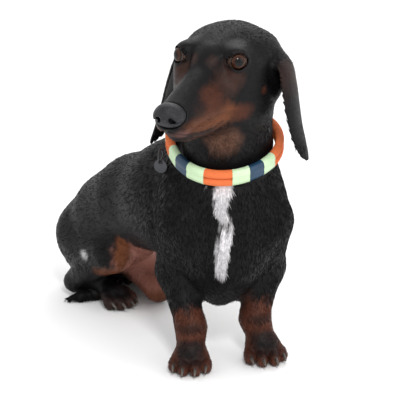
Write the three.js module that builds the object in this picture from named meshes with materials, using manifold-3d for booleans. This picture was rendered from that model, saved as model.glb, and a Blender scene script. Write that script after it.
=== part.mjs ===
// A smooth-haired black and tan dachshund, life size, sitting, with its head turned to its right.
// It wears a round two-cord collar with coloured sleeves and a blank tag.
// Millimetres, +Z up. The body's own axis lies along Y, with the chest towards -Y and the dog's left side towards +X.
import * as THREE from "three";
import { mergeVertices } from "three/addons/utils/BufferGeometryUtils.js";
import Module from "manifold-3d";

const wasm = await Module();
wasm.setup();

// Driving sizes of the dog.
const GAP = 0.3;
const CHEST_RADIUS = 69;
const NECK_RADIUS = 41;
const EYE_RADIUS = 10.4;
const FORE_CARPUS_RADIUS = 14.5;
const HOCK_RADIUS = 12;
const TOE_HEIGHT = 9.5;
const FLOOR = 0;
const FAR = 60;

// Joints are given as across, away and up along the line of sight from the dog's front right,
// and BODY_TURN turns that line to the body's own axis.
const BODY_TURN = THREE.MathUtils.degToRad(-30);
const joint = (across, away, up) =>
  new THREE.Vector3(across, away, up).applyAxisAngle(new THREE.Vector3(0, 0, 1), BODY_TURN);

// A frame on a body part: forward, left and up, turned by yaw degrees and raised by pitch degrees.
function partFrame(origin, yaw, pitch = 0) {
  const y = THREE.MathUtils.degToRad(yaw) + BODY_TURN;
  const p = THREE.MathUtils.degToRad(pitch);
  const forward = new THREE.Vector3(Math.sin(y) * Math.cos(p), -Math.cos(y) * Math.cos(p), Math.sin(p));
  const left = new THREE.Vector3(Math.cos(y), Math.sin(y), 0);
  const up = new THREE.Vector3().crossVectors(forward, left);
  const along = (f, l, u) =>
    new THREE.Vector3().addScaledVector(forward, f).addScaledVector(left, l).addScaledVector(up, u);
  return { origin, forward, left, up, along, at: (f, l, u) => along(f, l, u).add(origin) };
}

// Flesh: each muscle or bone is a distance in millimetres, and all of them melt into one another.
const flesh = [];
function clampShare(x) {
  return Math.min(1, Math.max(0, x));
}

// A limb or muscle that tapers from radius ra at a to rb at b, squeezed to the share flat along axis.
function limb(a, b, ra, rb, melt, flat = 1, axis = null) {
  const run = new THREE.Vector3().subVectors(b, a);
  const length2 = Math.max(run.lengthSq(), 1e-9);
  const q = new THREE.Vector3();
  const distance = (p) => {
    q.subVectors(p, a);
    const t = clampShare(q.dot(run) / length2);
    q.addScaledVector(run, -t);
    const r = ra + (rb - ra) * t;
    const span = q.length() + 1e-6;
    if (!axis) return span - r;
    const through = q.dot(axis);
    const squeezed = Math.sqrt(span * span + (1 / (flat * flat) - 1) * through * through);
    return ((squeezed - r) * span) / squeezed;
  };
  const centre = new THREE.Vector3().addVectors(a, b).multiplyScalar(0.5);
  return { distance, melt, centre, reach: Math.sqrt(length2) / 2 + Math.max(ra, rb) };
}

// An egg of the given forward, left and up radii, set in a part's frame.
function egg(frame, f, l, u, rf, rl, ru, melt) {
  const centre = frame.at(f, l, u);
  const q = new THREE.Vector3();
  const distance = (p) => {
    q.subVectors(p, centre);
    const a = q.dot(frame.forward);
    const b = q.dot(frame.left);
    const c = q.dot(frame.up);
    const k0 = Math.hypot(a / rf, b / rl, c / ru) + 1e-6;
    const k1 = Math.hypot(a / (rf * rf), b / (rl * rl), c / (ru * ru)) + 1e-9;
    return (k0 * (k0 - 1)) / k1;
  };
  return { distance, melt, centre, reach: Math.max(rf, rl, ru) };
}
const add = (shape) => flesh.push(shape);
const carve = (shape) => flesh.push({ ...shape, hollow: true });

// The field of all the flesh: below zero inside the body.
function body(p) {
  let f = FAR;
  for (const s of flesh) {
    if (s.centre.distanceTo(p) > s.reach + s.melt + 24) continue;
    const d = s.distance(p);
    if (s.hollow) {
      const h = Math.max(s.melt - Math.abs(f + d), 0) / s.melt;
      f = Math.max(f, -d) + h * h * s.melt * 0.25;
    } else {
      const h = Math.max(s.melt - Math.abs(f - d), 0) / s.melt;
      f = Math.min(f, d) - h * h * s.melt * 0.25;
    }
  }
  return f;
}

// Trunk: from the base of the neck along the ribs and loin to the seat.
const trunk = [
  [joint(-6, 28, 172), 47],
  [joint(-9, 52, 150), CHEST_RADIUS - 3],
  [joint(-47, 118, 149), CHEST_RADIUS - 9],
  [joint(-93, 172, 126), 49],
  [joint(-118, 206, 97), 49],
  [joint(-134, 236, 70), 45],
  [joint(-138, 254, 46), 37],
];
for (let i = 1; i < trunk.length; i += 1) {
  add(limb(trunk[i - 1][0], trunk[i][0], trunk[i - 1][1], trunk[i][1], 22));
}
const chest = partFrame(joint(-7, 50, 150), 8);
add(limb(chest.at(36, 0, -30), chest.at(-8, 0, -67), 33, 31, 24));
add(limb(chest.at(-22, 0, 54), chest.at(-66, -4, 42), 31, 30, 24));

// Neck: from the chest up to the back of the skull.
const neckBase = joint(-5, 50, 190);
const neckMiddle = joint(0, 45, 230);
const neckTop = joint(0, 34, 280);
add(limb(neckBase, neckMiddle, 49, NECK_RADIUS, 20));
add(limb(neckMiddle, neckTop, NECK_RADIUS, 40, 20));

// Forelegs: shoulder blade, upper arm, forearm, wrist and paw.
const pawFrames = {
  right: partFrame(joint(-38, 6, 0), -4),
  left: partFrame(joint(36, 32, 0), 14),
};
const wrists = { right: joint(-38, 13, 42), left: joint(28, 39, 42) };
const sides = { right: -1, left: 1 };
const elbows = {};
for (const [side, s] of Object.entries(sides)) {
  const shoulder = chest.at(37, 43 * s, 6);
  elbows[side] = chest.at(-3, 46 * s, -57);
  add(limb(chest.at(-18, 32 * s, 58), shoulder, 22, 23, 18));
  add(limb(shoulder, elbows[side], 24, 19, 8));
  add(egg(chest, -4, 48 * s, -10, 30, 18, 42, 9));
  add(limb(elbows[side], wrists[side], 20, FORE_CARPUS_RADIUS, 14));
  add(limb(wrists[side], pawFrames[side].at(2, 0, 19), FORE_CARPUS_RADIUS, 15, 10));
}

// Hind legs: the right one is folded with its foot in front, the left one lies flat with its knee forward.
const hip = { right: joint(-152, 220, 72), left: joint(-112, 248, 50) };
const knee = { right: joint(-125, 162, 72), left: joint(-75, 190, 19) };
const hock = { right: joint(-170, 216, 17), left: joint(-98, 300, 15) };
const instep = { right: joint(-143, 203, 22), left: joint(-109, 289, 12) };
const hindFrames = { right: partFrame(joint(-124, 186, 0), 34), left: partFrame(joint(-118, 267, 0), 2) };
add(limb(hip.right, knee.right, 38, 23, 9));
add(limb(hip.right, joint(-160, 238, 44), 33, 21, 16));
add(limb(knee.right, hock.right, 21, HOCK_RADIUS, 12));
add(limb(hip.left, knee.left, 32, 15, 16));
add(limb(knee.left, hock.left, 15, HOCK_RADIUS - 1, 10));
for (const side of Object.keys(sides)) {
  add(limb(hock[side], instep[side], HOCK_RADIUS - 0.5, 9.2, 8));
  add(limb(instep[side], hindFrames[side].at(0, 0, 12), 9.2, 11, 8));
}

// Paws: a pad and four toes each, which stand on the floor.
const toeRows = [
  [18, -6],
  [18, 6],
  [9.5, -15.6],
  [9.5, 15.6],
];
function paw(frame, scale) {
  add(egg(frame, 0, 0, 13 * scale, 17 * scale, 17 * scale, 13 * scale, 8));
  for (const [f, l] of toeRows) {
    add(limb(frame.at(f * 0.2, l * 0.75, 15 * scale), frame.at(f * scale, l * scale, TOE_HEIGHT + 1), 7, 6.4, 2));
    add(egg(frame, (f + 3.5) * scale, l * scale * 1.04, TOE_HEIGHT - 1.7, 8.5, 6.3, 7.8, 2));
  }
}
paw(pawFrames.right, 1.02);
paw(pawFrames.left, 1.06);
paw(hindFrames.right, 0.9);
paw(hindFrames.left, 0.9);

// Tail: it leaves the seat, passes forward between the feet and turns to the dog's right, its tip on the floor.
const tailLine = [
  joint(-152, 268, 28),
  joint(-148, 250, 13),
  joint(-137, 229, 9),
  joint(-134, 212, 8),
  joint(-146, 200, 7),
  joint(-163, 195, 6.5),
  joint(-181, 193, 3),
];
const tailRadii = [11, 9.5, 8, 7, 6, 6, 1.2];

// Head: its frame starts midway between the eyes.
const head = partFrame(joint(-22, -7, 330), -26);
add(egg(head, -54, 0, -9, 50, 42, 35, 10));
add(limb(head.at(-74, 0, -26), neckTop, 31, 41, 18));
add(egg(head, -20, 0, -4, 30, 27, 18, 14));
add(limb(head.at(-6, 0, -14), head.at(72, 0, -38.5), 18, 12, 12));
add(limb(head.at(-34, 0, -58), head.at(64, 0, -59), 22, 8, 7));
add(egg(head, -40, 0, -54, 40, 35, 30, 22));
add(egg(head, 75, 0, -48, 10, 13, 8, 6));
add(limb(head.at(-22, 0, -64), joint(-12, 16, 238), 22, 30, 20));
for (const s of Object.values(sides)) {
  add(egg(head, -30, 28 * s, -15, 33, 17, 21, 14));
  add(egg(head, -62, 27 * s, -2, 28, 19, 16, 12));
  add(egg(head, -34, 28 * s, -42, 34, 15, 28, 14));
  add(limb(head.at(-8, 15 * s, -37), head.at(66, 8.5 * s, -45), 18.5, 11.5, 14));
  add(limb(head.at(-24, 16 * s, -57), head.at(56, 7 * s, -60), 14, 6.5, 9));
  add(egg(head, -12, 25 * s, 8.5, 12, 9, 4.5, 9));
  add(egg(head, -70, 42 * s, -15, 20, 10, 11, 10));
  add(egg(head, -66, 42 * s, -28, 13, 10, 22, 12));
  carve(egg(head, 11, 23 * s, -4, 10, 5, 7, 9));
}
carve(limb(head.at(-60, 0, 33), head.at(-12, 0, 25), 4.5, 6, 10));

// Solids. A mesh is drawn on the zero level of a field with cells of one size in a part's frame:
// one point a cell that the level crosses, put on the level, and one square face round each crossed edge.
function skin(field, frame, low, high, cell) {
  const n = low.map((v, i) => Math.ceil((high[i] - v) / cell) + 1);
  const place = (i, j, k) => frame.at(low[0] + i * cell, low[1] + j * cell, low[2] + k * cell);
  const index = (i, j, k) => (k * n[1] + j) * n[0] + i;
  const value = new Float64Array(n[0] * n[1] * n[2]);
  for (let k = 0; k < n[2]; k += 1) {
    for (let j = 0; j < n[1]; j += 1) {
      for (let i = 0; i < n[0]; i += 1) {
        const rim = [i, j, k].some((v, axis) => v === 0 || v === n[axis] - 1);
        value[index(i, j, k)] = rim ? Math.max(field(place(i, j, k)), cell * 0.3) : field(place(i, j, k));
      }
    }
  }
  const corners = [0, 1, 2, 3, 4, 5, 6, 7].map((c) => [c & 1, (c >> 1) & 1, (c >> 2) & 1]);
  const edges = [[0, 1], [2, 3], [4, 5], [6, 7], [0, 2], [1, 3], [4, 6], [5, 7], [0, 4], [1, 5], [2, 6], [3, 7]];
  const pointOf = new Int32Array(value.length).fill(-1);
  const points = [];
  for (let k = 0; k < n[2] - 1; k += 1) {
    for (let j = 0; j < n[1] - 1; j += 1) {
      for (let i = 0; i < n[0] - 1; i += 1) {
        const v = corners.map(([a, b, c]) => value[index(i + a, j + b, k + c)]);
        const sum = [0, 0, 0];
        let crossed = 0;
        for (const [a, b] of edges) {
          if (v[a] < 0 === v[b] < 0) continue;
          const t = v[a] / (v[a] - v[b]);
          for (let axis = 0; axis < 3; axis += 1) {
            sum[axis] += corners[a][axis] + (corners[b][axis] - corners[a][axis]) * t;
          }
          crossed += 1;
        }
        if (crossed === 0) continue;
        pointOf[index(i, j, k)] = points.length;
        points.push(place(i + sum[0] / crossed, j + sum[1] / crossed, k + sum[2] / crossed));
      }
    }
  }
  points.forEach((p) => settle(p, field, cell * 0.35));
  const faces = [];
  const steps = [[1, 0, 0], [0, 1, 0], [0, 0, 1]];
  for (let k = 0; k < n[2] - 1; k += 1) {
    for (let j = 0; j < n[1] - 1; j += 1) {
      for (let i = 0; i < n[0] - 1; i += 1) {
        const here = value[index(i, j, k)] < 0;
        steps.forEach((step, axis) => {
          if (here === value[index(i + step[0], j + step[1], k + step[2])] < 0) return;
          const u = steps[(axis + 1) % 3];
          const w = steps[(axis + 2) % 3];
          const around = [[0, 0], [1, 0], [1, 1], [0, 1]].map(([a, b]) =>
            pointOf[index(i - a * u[0] - b * w[0], j - a * u[1] - b * w[1], k - a * u[2] - b * w[2])]);
          const [a, b, c, d] = here ? around : around.reverse();
          const even = points[a].distanceToSquared(points[c]) < points[b].distanceToSquared(points[d]);
          faces.push(...(even ? [a, b, c, a, c, d] : [b, c, d, b, d, a]));
        });
      }
    }
  }
  return faced(points, faces);
}

// Moves a point onto the field's zero level, by no more than the given distance.
function settle(p, field, limit) {
  const start = p.clone();
  const e = 0.5;
  const slope = new THREE.Vector3();
  for (let turn = 0; turn < 3; turn += 1) {
    const f = field(p);
    slope.set(
      field(p.clone().setX(p.x + e)) - f,
      field(p.clone().setY(p.y + e)) - f,
      field(p.clone().setZ(p.z + e)) - f,
    ).divideScalar(e);
    const steep = Math.max(slope.lengthSq(), 0.1);
    p.addScaledVector(slope, -f / steep);
    const moved = p.clone().sub(start);
    if (moved.length() > limit) p.copy(start).addScaledVector(moved.normalize(), limit);
  }
}

function faced(points, faces) {
  const shape = new THREE.BufferGeometry();
  shape.setAttribute("position", new THREE.Float32BufferAttribute(points.flatMap((p) => [p.x, p.y, p.z]), 3));
  shape.setIndex(faces);
  return shape;
}

// A solid through closed rings of points, each ring as long as the last, with its ends closed to their middles.
function loft(rings) {
  const count = rings[0].length;
  const points = rings.flat();
  const faces = [];
  for (let r = 0; r < rings.length - 1; r += 1) {
    for (let i = 0; i < count; i += 1) {
      const a = r * count + i;
      const b = r * count + ((i + 1) % count);
      faces.push(a, b, b + count, a, b + count, a + count);
    }
  }
  for (const [ring, start, flip] of [[rings[0], 0, true], [rings.at(-1), (rings.length - 1) * count, false]]) {
    const middle = ring.reduce((sum, p) => sum.add(p), new THREE.Vector3()).divideScalar(count);
    const tip = points.push(middle) - 1;
    for (let i = 0; i < count; i += 1) {
      const a = start + i;
      const b = start + ((i + 1) % count);
      faces.push(...(flip ? [b, a, tip] : [a, b, tip]));
    }
  }
  return faced(points, faces);
}

// Joining and cutting.
function solid(geometry) {
  const clean = geometry.index ? geometry.clone() : mergeVertices(geometry, 1e-4);
  const mesh = new wasm.Mesh({
    numProp: 3,
    vertProperties: Float32Array.from(clean.getAttribute("position").array),
    triVerts: Uint32Array.from(clean.index.array),
  });
  const made = new wasm.Manifold(mesh);
  return made.volume() < 0 ? new wasm.Manifold(new wasm.Mesh({ ...mesh, triVerts: mesh.triVerts.reverse() })) : made;
}
// Draws every edge shorter than SHORT together to one point and leaves out the faces that this closes.
// Where two sheets of the surface touch in one point, each is drawn back from it by APART.
const SHORT = 0.03;
const APART = 0.03;
function shapeOf(made) {
  const mesh = made.getMesh();
  const at = (i) => new THREE.Vector3().fromArray(mesh.vertProperties, 3 * i);
  const home = Array.from({ length: mesh.vertProperties.length / 3 }, (_, i) => i);
  const root = (i) => (home[i] === i ? i : (home[i] = root(home[i])));
  const tri = Array.from(mesh.triVerts);
  for (let t = 0; t < tri.length; t += 3) {
    for (let e = 0; e < 3; e += 1) {
      const a = tri[t + e];
      const b = tri[t + ((e + 1) % 3)];
      if (at(a).distanceTo(at(b)) < SHORT) home[root(Math.max(a, b))] = root(Math.min(a, b));
    }
  }
  const used = new Map();
  const points = [];
  const index = [];
  const around = [];
  for (let t = 0; t < tri.length; t += 3) {
    const face = [root(tri[t]), root(tri[t + 1]), root(tri[t + 2])];
    if (new Set(face).size < 3) continue;
    const own = face.map((v) => {
      if (!used.has(v)) {
        used.set(v, points.push(at(v)) - 1);
        around.push([]);
      }
      return used.get(v);
    });
    index.push(...own);
    own.forEach((v, e) => around[v].push(own[(e + 1) % 3]));
  }
  const spots = Map.groupBy(points.keys(), (i) => points[i].clone().multiplyScalar(400).round().toArray().join());
  const moved = [...spots.values()].filter((group) => group.length > 1).flat().map((i) => {
    const mean = around[i].reduce((sum, j) => sum.add(points[j]), new THREE.Vector3()).divideScalar(around[i].length);
    return [i, mean.sub(points[i]).setLength(APART)];
  });
  moved.forEach(([i, step]) => points[i].add(step));
  return faced(points, index);
}
const cut = (from, ...tools) => tools.reduce((left, tool) => wasm.Manifold.difference(left, tool), from);
const join = (first, ...others) => others.reduce((sum, other) => wasm.Manifold.union(sum, other), first);
const keep = (from, within) => wasm.Manifold.intersection(from, within);
const biggest = (made) =>
  made.decompose().reduce((best, piece) => (piece.volume() > best.volume() ? piece : best));

// The room behind a plane through point, whose normal looks out of the room, moved out by grow.
const WORLD = 1200;
function room(point, normal, grow = 0) {
  const block = new THREE.BoxGeometry(WORLD, WORLD, WORLD).translate(0, 0, -WORLD / 2 + grow);
  const turn = new THREE.Quaternion().setFromUnitVectors(new THREE.Vector3(0, 0, 1), normal.clone().normalize());
  block.applyQuaternion(turn).translate(point.x, point.y, point.z);
  return solid(mergeVertices(stripped(block), 1e-3));
}
function stripped(geometry) {
  geometry.deleteAttribute("normal");
  geometry.deleteAttribute("uv");
  return geometry;
}
const region = (planes, grow) => planes.map(([p, n]) => room(p, n, grow)).reduce(keep);
const aboveFloor = room(new THREE.Vector3(0, 0, FLOOR), new THREE.Vector3(0, 0, -1));

// Named parts.
const dog = new THREE.Group();
dog.name = "dachshund";
const coat = new THREE.MeshStandardMaterial({ color: 0x1a1718, roughness: 0.6 });
const tan = new THREE.MeshStandardMaterial({ color: 0x6b3a20, roughness: 0.6 });
const nosePad = new THREE.MeshStandardMaterial({ color: 0x2b2a2e, roughness: 0.4 });
const eyeGlass = new THREE.MeshStandardMaterial({ color: 0x4a2c14, roughness: 0.1 });
const horn = new THREE.MeshStandardMaterial({ color: 0x3a3734, roughness: 0.5 });
const orange = new THREE.MeshStandardMaterial({ color: 0xe07a35, roughness: 0.7 });
const mint = new THREE.MeshStandardMaterial({ color: 0xcfe5c9, roughness: 0.5 });
const navy = new THREE.MeshStandardMaterial({ color: 0x1e4766, roughness: 0.5 });
const steel = new THREE.MeshStandardMaterial({ color: 0x8a8d92, roughness: 0.35, metalness: 1 });
function name(label, made, material) {
  const pieces = made.decompose();
  if (pieces.length > 1) made = biggest(made);
  const mesh = new THREE.Mesh(shapeOf(made), material);
  mesh.name = label;
  dog.add(mesh);
  return made;
}
const UP = new THREE.Vector3(0, 0, 1);
const DOWN = new THREE.Vector3(0, 0, -1);
const level = partFrame(joint(-60, 140, 0), 0);

// Eyes: balls under lids, in sockets a gap wider than themselves.
const eyeTurn = THREE.MathUtils.degToRad(38);
const eyes = Object.fromEntries(Object.entries(sides).map(([side, s]) => {
  const gaze = head.along(Math.cos(eyeTurn), Math.sin(eyeTurn) * s, 0.06).normalize();
  const across = new THREE.Vector3().crossVectors(UP, gaze).normalize();
  return [side, { centre: head.at(-8, 28 * s, -1), gaze, across, over: new THREE.Vector3().crossVectors(gaze, across) }];
}));
function ball(centre, radius, around = 24, down = 16) {
  const globe = stripped(new THREE.SphereGeometry(radius, around, down)).translate(centre.x, centre.y, centre.z);
  return solid(mergeVertices(globe, 1e-3));
}
// The opening between the lids: an almond, pointed at both corners, run out along the gaze.
function almond(eye, halfWidth, halfHeight) {
  const ring = (reach) => Array.from({ length: 20 }, (_, i) => {
    const a = (i / 20) * 2 * Math.PI;
    const side = Math.cos(a) * halfWidth;
    const rise = Math.sin(a) * halfHeight * (1 - 0.16 * Math.cos(a) ** 2);
    return eye.centre.clone().addScaledVector(eye.gaze, reach).addScaledVector(eye.across, side)
      .addScaledVector(eye.over, rise);
  });
  return solid(loft([ring(3), ring(30)]));
}

// Nose: a leather pad with a comma-shaped nostril on each side and a groove down its middle.
const noseField = (() => {
  const shapes = [
    [egg(head, 79, 0, -38, 13, 15.5, 11.5, 1), 0],
    [egg(head, 84, 0, -33, 9, 11, 7.5, 1), 5],
    [egg(head, 85, 6, -38, 7, 8, 7, 1), 4],
    [egg(head, 85, -6, -38, 7, 8, 7, 1), 4],
  ];
  return (p) => shapes.reduce((f, [shape, k]) => {
    const d = shape.distance(p);
    if (!k) return Math.min(f, d);
    const h = Math.max(k - Math.abs(f - d), 0) / k;
    return Math.min(f, d) - h * h * k * 0.25;
  }, FAR);
})();
const nosePlane = [head.at(77, 0, -38), head.along(0.94, 0, 0.34).normalize()];
const noseRoom = (grow) => keep(room(nosePlane[0], nosePlane[1].clone().negate(), grow),
  solid(skin((p) => noseField(p) - 2 * grow, head, [60, -22, -56], [102, 22, -18], 4.4)));
let nose = keep(noseRoom(0), solid(skin(noseField, head, [60, -22, -56], [102, 22, -18], 4.4)));
for (const s of Object.values(sides)) {
  const bore = [[99, 6, -40, 3.1], [92, 6.5, -40, 2.9], [86, 8.5, -39, 2.2], [82, 10.5, -38, 1.2]];
  nose = cut(nose, solid(loft(bore.map(([f, l, u, r]) => Array.from({ length: 10 }, (_, i) => {
    const a = (i / 10) * 2 * Math.PI * s;
    return head.at(f, l * s + Math.cos(a) * r * 1.25 * s, u + Math.sin(a) * r);
  })))));
}

// Mouth: a narrow cut along the lips, from one corner round under the nose to the other.
function mouthCut() {
  const line = [[4, 29, -55], [18, 27, -58], [34, 24, -59], [52, 19.5, -58], [70, 13, -56], [80, 5, -55.5]];
  const path = [...line, ...line.toReversed().map(([f, l, u]) => [f, -l, u])];
  const rings = path.map(([f, l, u]) => {
    const out = new THREE.Vector2(f < 60 ? 0.25 : 1, l / 22).normalize();
    const edge = head.at(f + out.x * 14, l + out.y * 14, u + 0.5);
    const deep = head.at(f - out.x * 5, l - out.y * 5, u);
    return [edge, edge.clone().add(new THREE.Vector3(0, 0, -2.2)), deep.clone().add(new THREE.Vector3(0, 0, -1)), deep];
  });
  return solid(loft(rings));
}

// Head: skull, muzzle and jaws in one, with sockets, lids, mouth and seats for the nose and ears.
const neckCut = [joint(0, 40, 262), new THREE.Vector3(0, -0.35, 0.94).applyAxisAngle(UP, BODY_TURN).normalize()];
const bodySolid = (frame, low, high, cell) => solid(skin(body, frame, low, high, cell));
const EAR_PLANE = 50;
const earSide = (s, grow) => room(head.at(0, EAR_PLANE * s, 0), head.along(0, -s, 0), grow);
const headSide = (s, grow) => room(head.at(0, EAR_PLANE * s, 0), head.along(0, s, 0), grow);
const headRaw = bodySolid(head, [-130, -72, -100], [104, 72, 46], 8.5);
let skull = keep(headRaw, room(neckCut[0], neckCut[1].clone().negate(), -GAP / 2));
skull = keep(keep(skull, headSide(1, -GAP / 2)), headSide(-1, -GAP / 2));
for (const eye of Object.values(eyes)) {
  const lidBall = ball(eye.centre, EYE_RADIUS + 2.4, 20, 14);
  skull = join(skull, lidBall);
  skull = cut(skull, ball(eye.centre, EYE_RADIUS + GAP, 20, 14), almond(eye, 8.5, 7.2));
}
skull = cut(skull, noseRoom(GAP), mouthCut());
name("head", skull, coat);
name("nose", nose, nosePad);
for (const [side, eye] of Object.entries(eyes)) {
  name(`eye_${side}`, ball(eye.centre, EYE_RADIUS, 16, 10), eyeGlass);
}

// Ears: leathers that fold over at their roots and hang, cupped, beside the cheeks.
// Each row is out to the side, up, half the width and half the thickness.
const EAR_ROWS = [
  [40, -15, 13, 6], [48, -12, 15, 5], [54.5, -14, 20, 4], [59.5, -20, 23.5, 3], [63.5, -32, 25.5, 2.5], [66.5, -46, 26, 2.3],
  [69.5, -62, 24.5, 2.2], [73, -78, 22, 2.1], [77, -91, 18.5, 2], [80.5, -101, 13.5, 1.8], [82.5, -106.5, 6, 1.2],
];
const EAR_CUP = 7;
function leather(s, forward, turned) {
  return solid(loft(EAR_ROWS.map(([l, u, half, thick], r) => {
    const before = EAR_ROWS[Math.max(0, r - 1)];
    const after = EAR_ROWS[Math.min(EAR_ROWS.length - 1, r + 1)];
    const across = new THREE.Vector2(before[1] - after[1], after[0] - before[0]).normalize();
    const fall = Math.max(0, 4 - u) / 109;
    const cup = EAR_CUP * Math.min(1, r / 4) * (half / 30);
    return Array.from({ length: 16 }, (_, i) => {
      const a = (i / 16) * 2 * Math.PI * s;
      const w = Math.cos(a);
      const out = Math.sin(a) * thick - cup * w * w;
      const aside = l + across.x * out + w * half * Math.sin(turned);
      return head.at(-66 + fall * forward + w * half * Math.cos(turned), aside * s, u + across.y * out);
    });
  })));
}
for (const [side, s] of Object.entries(sides)) {
  const ear = keep(join(headRaw, leather(s, s > 0 ? 6 : 24, s > 0 ? THREE.MathUtils.degToRad(10) : 0)), earSide(s, -GAP / 2));
  name(`ear_${side}`, ear, coat);
}

// Neck, and the collar that rests round it.
const collarLean = THREE.MathUtils.degToRad(18);
const collarNormal = new THREE.Vector3(0, -Math.sin(collarLean), Math.cos(collarLean)).applyAxisAngle(UP, BODY_TURN);
const collarCentre = joint(-1, 42, 230);
const collarSide = new THREE.Vector3(1, 0, 0).applyAxisAngle(UP, BODY_TURN);
const collarBack = new THREE.Vector3().crossVectors(collarNormal, collarSide);
const collarRadius = (angle) => {
  const way = new THREE.Vector3().addScaledVector(collarSide, Math.cos(angle)).addScaledVector(collarBack, Math.sin(angle));
  let reach = 0;
  for (const lift of [-6, 0, 6]) {
    let r = 30;
    for (let step = 0; step < 40; step += 1) {
      const f = body(collarCentre.clone().addScaledVector(collarNormal, lift).addScaledVector(way, r));
      r -= f;
      if (Math.abs(f) < 0.02) break;
    }
    reach = Math.max(reach, r);
  }
  return reach;
};
const neckSeat = [joint(-1, 42, 209), collarNormal];
const neck = keep(keep(bodySolid(level, [20, -20, 165], [180, 135, 300], 12), room(neckCut[0], neckCut[1], -GAP / 2)),
  room(neckSeat[0], neckSeat[1].clone().negate(), -GAP / 2));
name("neck", neck, coat);

const BAND_THICK = 4.9;
const BAND_TALL = 8.6;
const STEPS = 64;
const radii = Array.from({ length: STEPS }, (_, i) => collarRadius((i / STEPS) * 2 * Math.PI));
const collarLine = (turn) => {
  const at = ((turn % 1) + 1) % 1 * STEPS;
  const i = Math.floor(at);
  const near = [-2, -1, 0, 1, 2, 3].map((k) => radii[(i + k + STEPS) % STEPS]);
  return near.reduce((sum, r) => sum + r, 0) / near.length + BAND_THICK + GAP + 0.5;
};
function bandPiece(from, to, corded) {
  const rows = Math.max(2, Math.round((to - from) * 30));
  const rings = Array.from({ length: rows + 1 }, (_, r) => {
    const turn = from + ((to - from) * r) / rows;
    const angle = turn * 2 * Math.PI;
    const way = new THREE.Vector3().addScaledVector(collarSide, Math.cos(angle)).addScaledVector(collarBack, Math.sin(angle));
    const centre = collarLine(turn);
    return Array.from({ length: 10 }, (_, i) => {
      const a = ((i + 0.5) / 10) * 2 * Math.PI + Math.PI / 10;
      const waist = corded ? 1 - 0.26 * Math.exp(-((Math.sin(a) / 0.34) ** 2)) : 1;
      const out = Math.sign(Math.cos(a)) * Math.abs(Math.cos(a)) ** 0.7 * BAND_THICK * waist * (corded ? 0.94 : 1);
      const rise = Math.sign(Math.sin(a)) * Math.abs(Math.sin(a)) ** 0.8 * BAND_TALL * (corded ? 0.95 : 1);
      return collarCentre.clone().addScaledVector(way, centre + out).addScaledVector(collarNormal, rise);
    });
  });
  return solid(loft(rings));
}
const PATTERN = [["orange", 0.07, orange, true], ["mint", 0.048, mint, false], ["navy", 0.047, navy, false], ["mint", 0.05, mint, false]];
const BACK_EXTRA = 1 - 4 * 0.215;
const FRONT = 0.725;
const collarGap = GAP / 2 / (2 * Math.PI * 56);
let along = FRONT - 0.035;
for (let turn = 0; turn < 4; turn += 1) {
  PATTERN.forEach(([label, usual, material, corded], i) => {
    const share = turn === 1 && i === 0 ? usual + BACK_EXTRA : usual;
    const place = `collar_${label}_${turn * 4 + i + 1}`;
    name(place, bandPiece(along + collarGap, along + share - collarGap, corded), material);
    along += share;
  });
}

// Torso and legs: each region of the body is bounded by planes, and the torso is what they leave.
const FORE = -34;
const foreRegion = (s) => [
  [chest.at(0, 16 * s, -88), chest.along(0, -0.94 * s, 0.34).normalize()],
  [chest.at(0, 0, -42), chest.along(0, -0.25 * s, 1).normalize()],
  [chest.at(FORE, 0, 0), chest.along(-1, 0, 0)],
];
const pelvis = partFrame(joint(-130, 230, 60), 33.8);
const hindRegion = {
  right: [
    [pelvis.at(0, -20, 0), pelvis.along(0, 1, 0)],
    [pelvis.at(0, 0, 50), pelvis.along(0.2, 0, 1).normalize()],
    [pelvis.at(90, 0, 0), pelvis.along(1, 0, 0)],
  ],
  left: [
    [pelvis.at(0, 4, 0), pelvis.along(0, -1, 0)],
    [pelvis.at(0, 0, -2), UP],
    [pelvis.at(90, 0, 0), pelvis.along(1, 0, 0)],
  ],
};
const WRIST = 38;
const pawRegion = [
  [new THREE.Vector3(0, 0, WRIST), UP],
  [chest.at(-6, 0, 0), chest.along(-1, 0, 0)],
];
const footRegion = [
  [pelvis.at(4, 0, 0), pelvis.along(-1, 0, 0)],
  [pelvis.at(0, -2, 0), pelvis.along(0, 1, 0)],
  [pelvis.at(0, 0, -27), UP],
  [pelvis.at(70, 0, 0), pelvis.along(1, 0, 0)],
];

const farFoot = hindFrames.left;
const farFootRegion = [
  [farFoot.at(-19, 0, 0), farFoot.along(-1, 0, 0)],
  [farFoot.at(0, 17.5, 0), farFoot.along(0, 1, 0)],
  [farFoot.at(0, -19, 0), farFoot.along(0, -1, 0)],
  [farFoot.at(40, 0, 0), farFoot.along(1, 0, 0)],
  [farFoot.at(0, 0, 27), UP],
];

// Tail: drawn on its own and laid in a seat a gap wider than itself.
const tailShapes = tailLine.slice(1).map((p, i) => limb(tailLine[i], p, tailRadii[i], tailRadii[i + 1], 4));
const tailField = (p) => tailShapes.reduce((f, shape) => {
  const d = shape.distance(p);
  const h = Math.max(4 - Math.abs(f - d), 0) / 4;
  return Math.min(f, d) - h * h;
}, FAR);
const tailSolid = (grow) => solid(skin((p) => tailField(p) - grow, level, [-148, -145, -5], [-40, -50, 48], 6.2));
const tail = keep(tailSolid(0), aboveFloor);
const tailSeat = tailSolid(GAP + 0.7);

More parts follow.
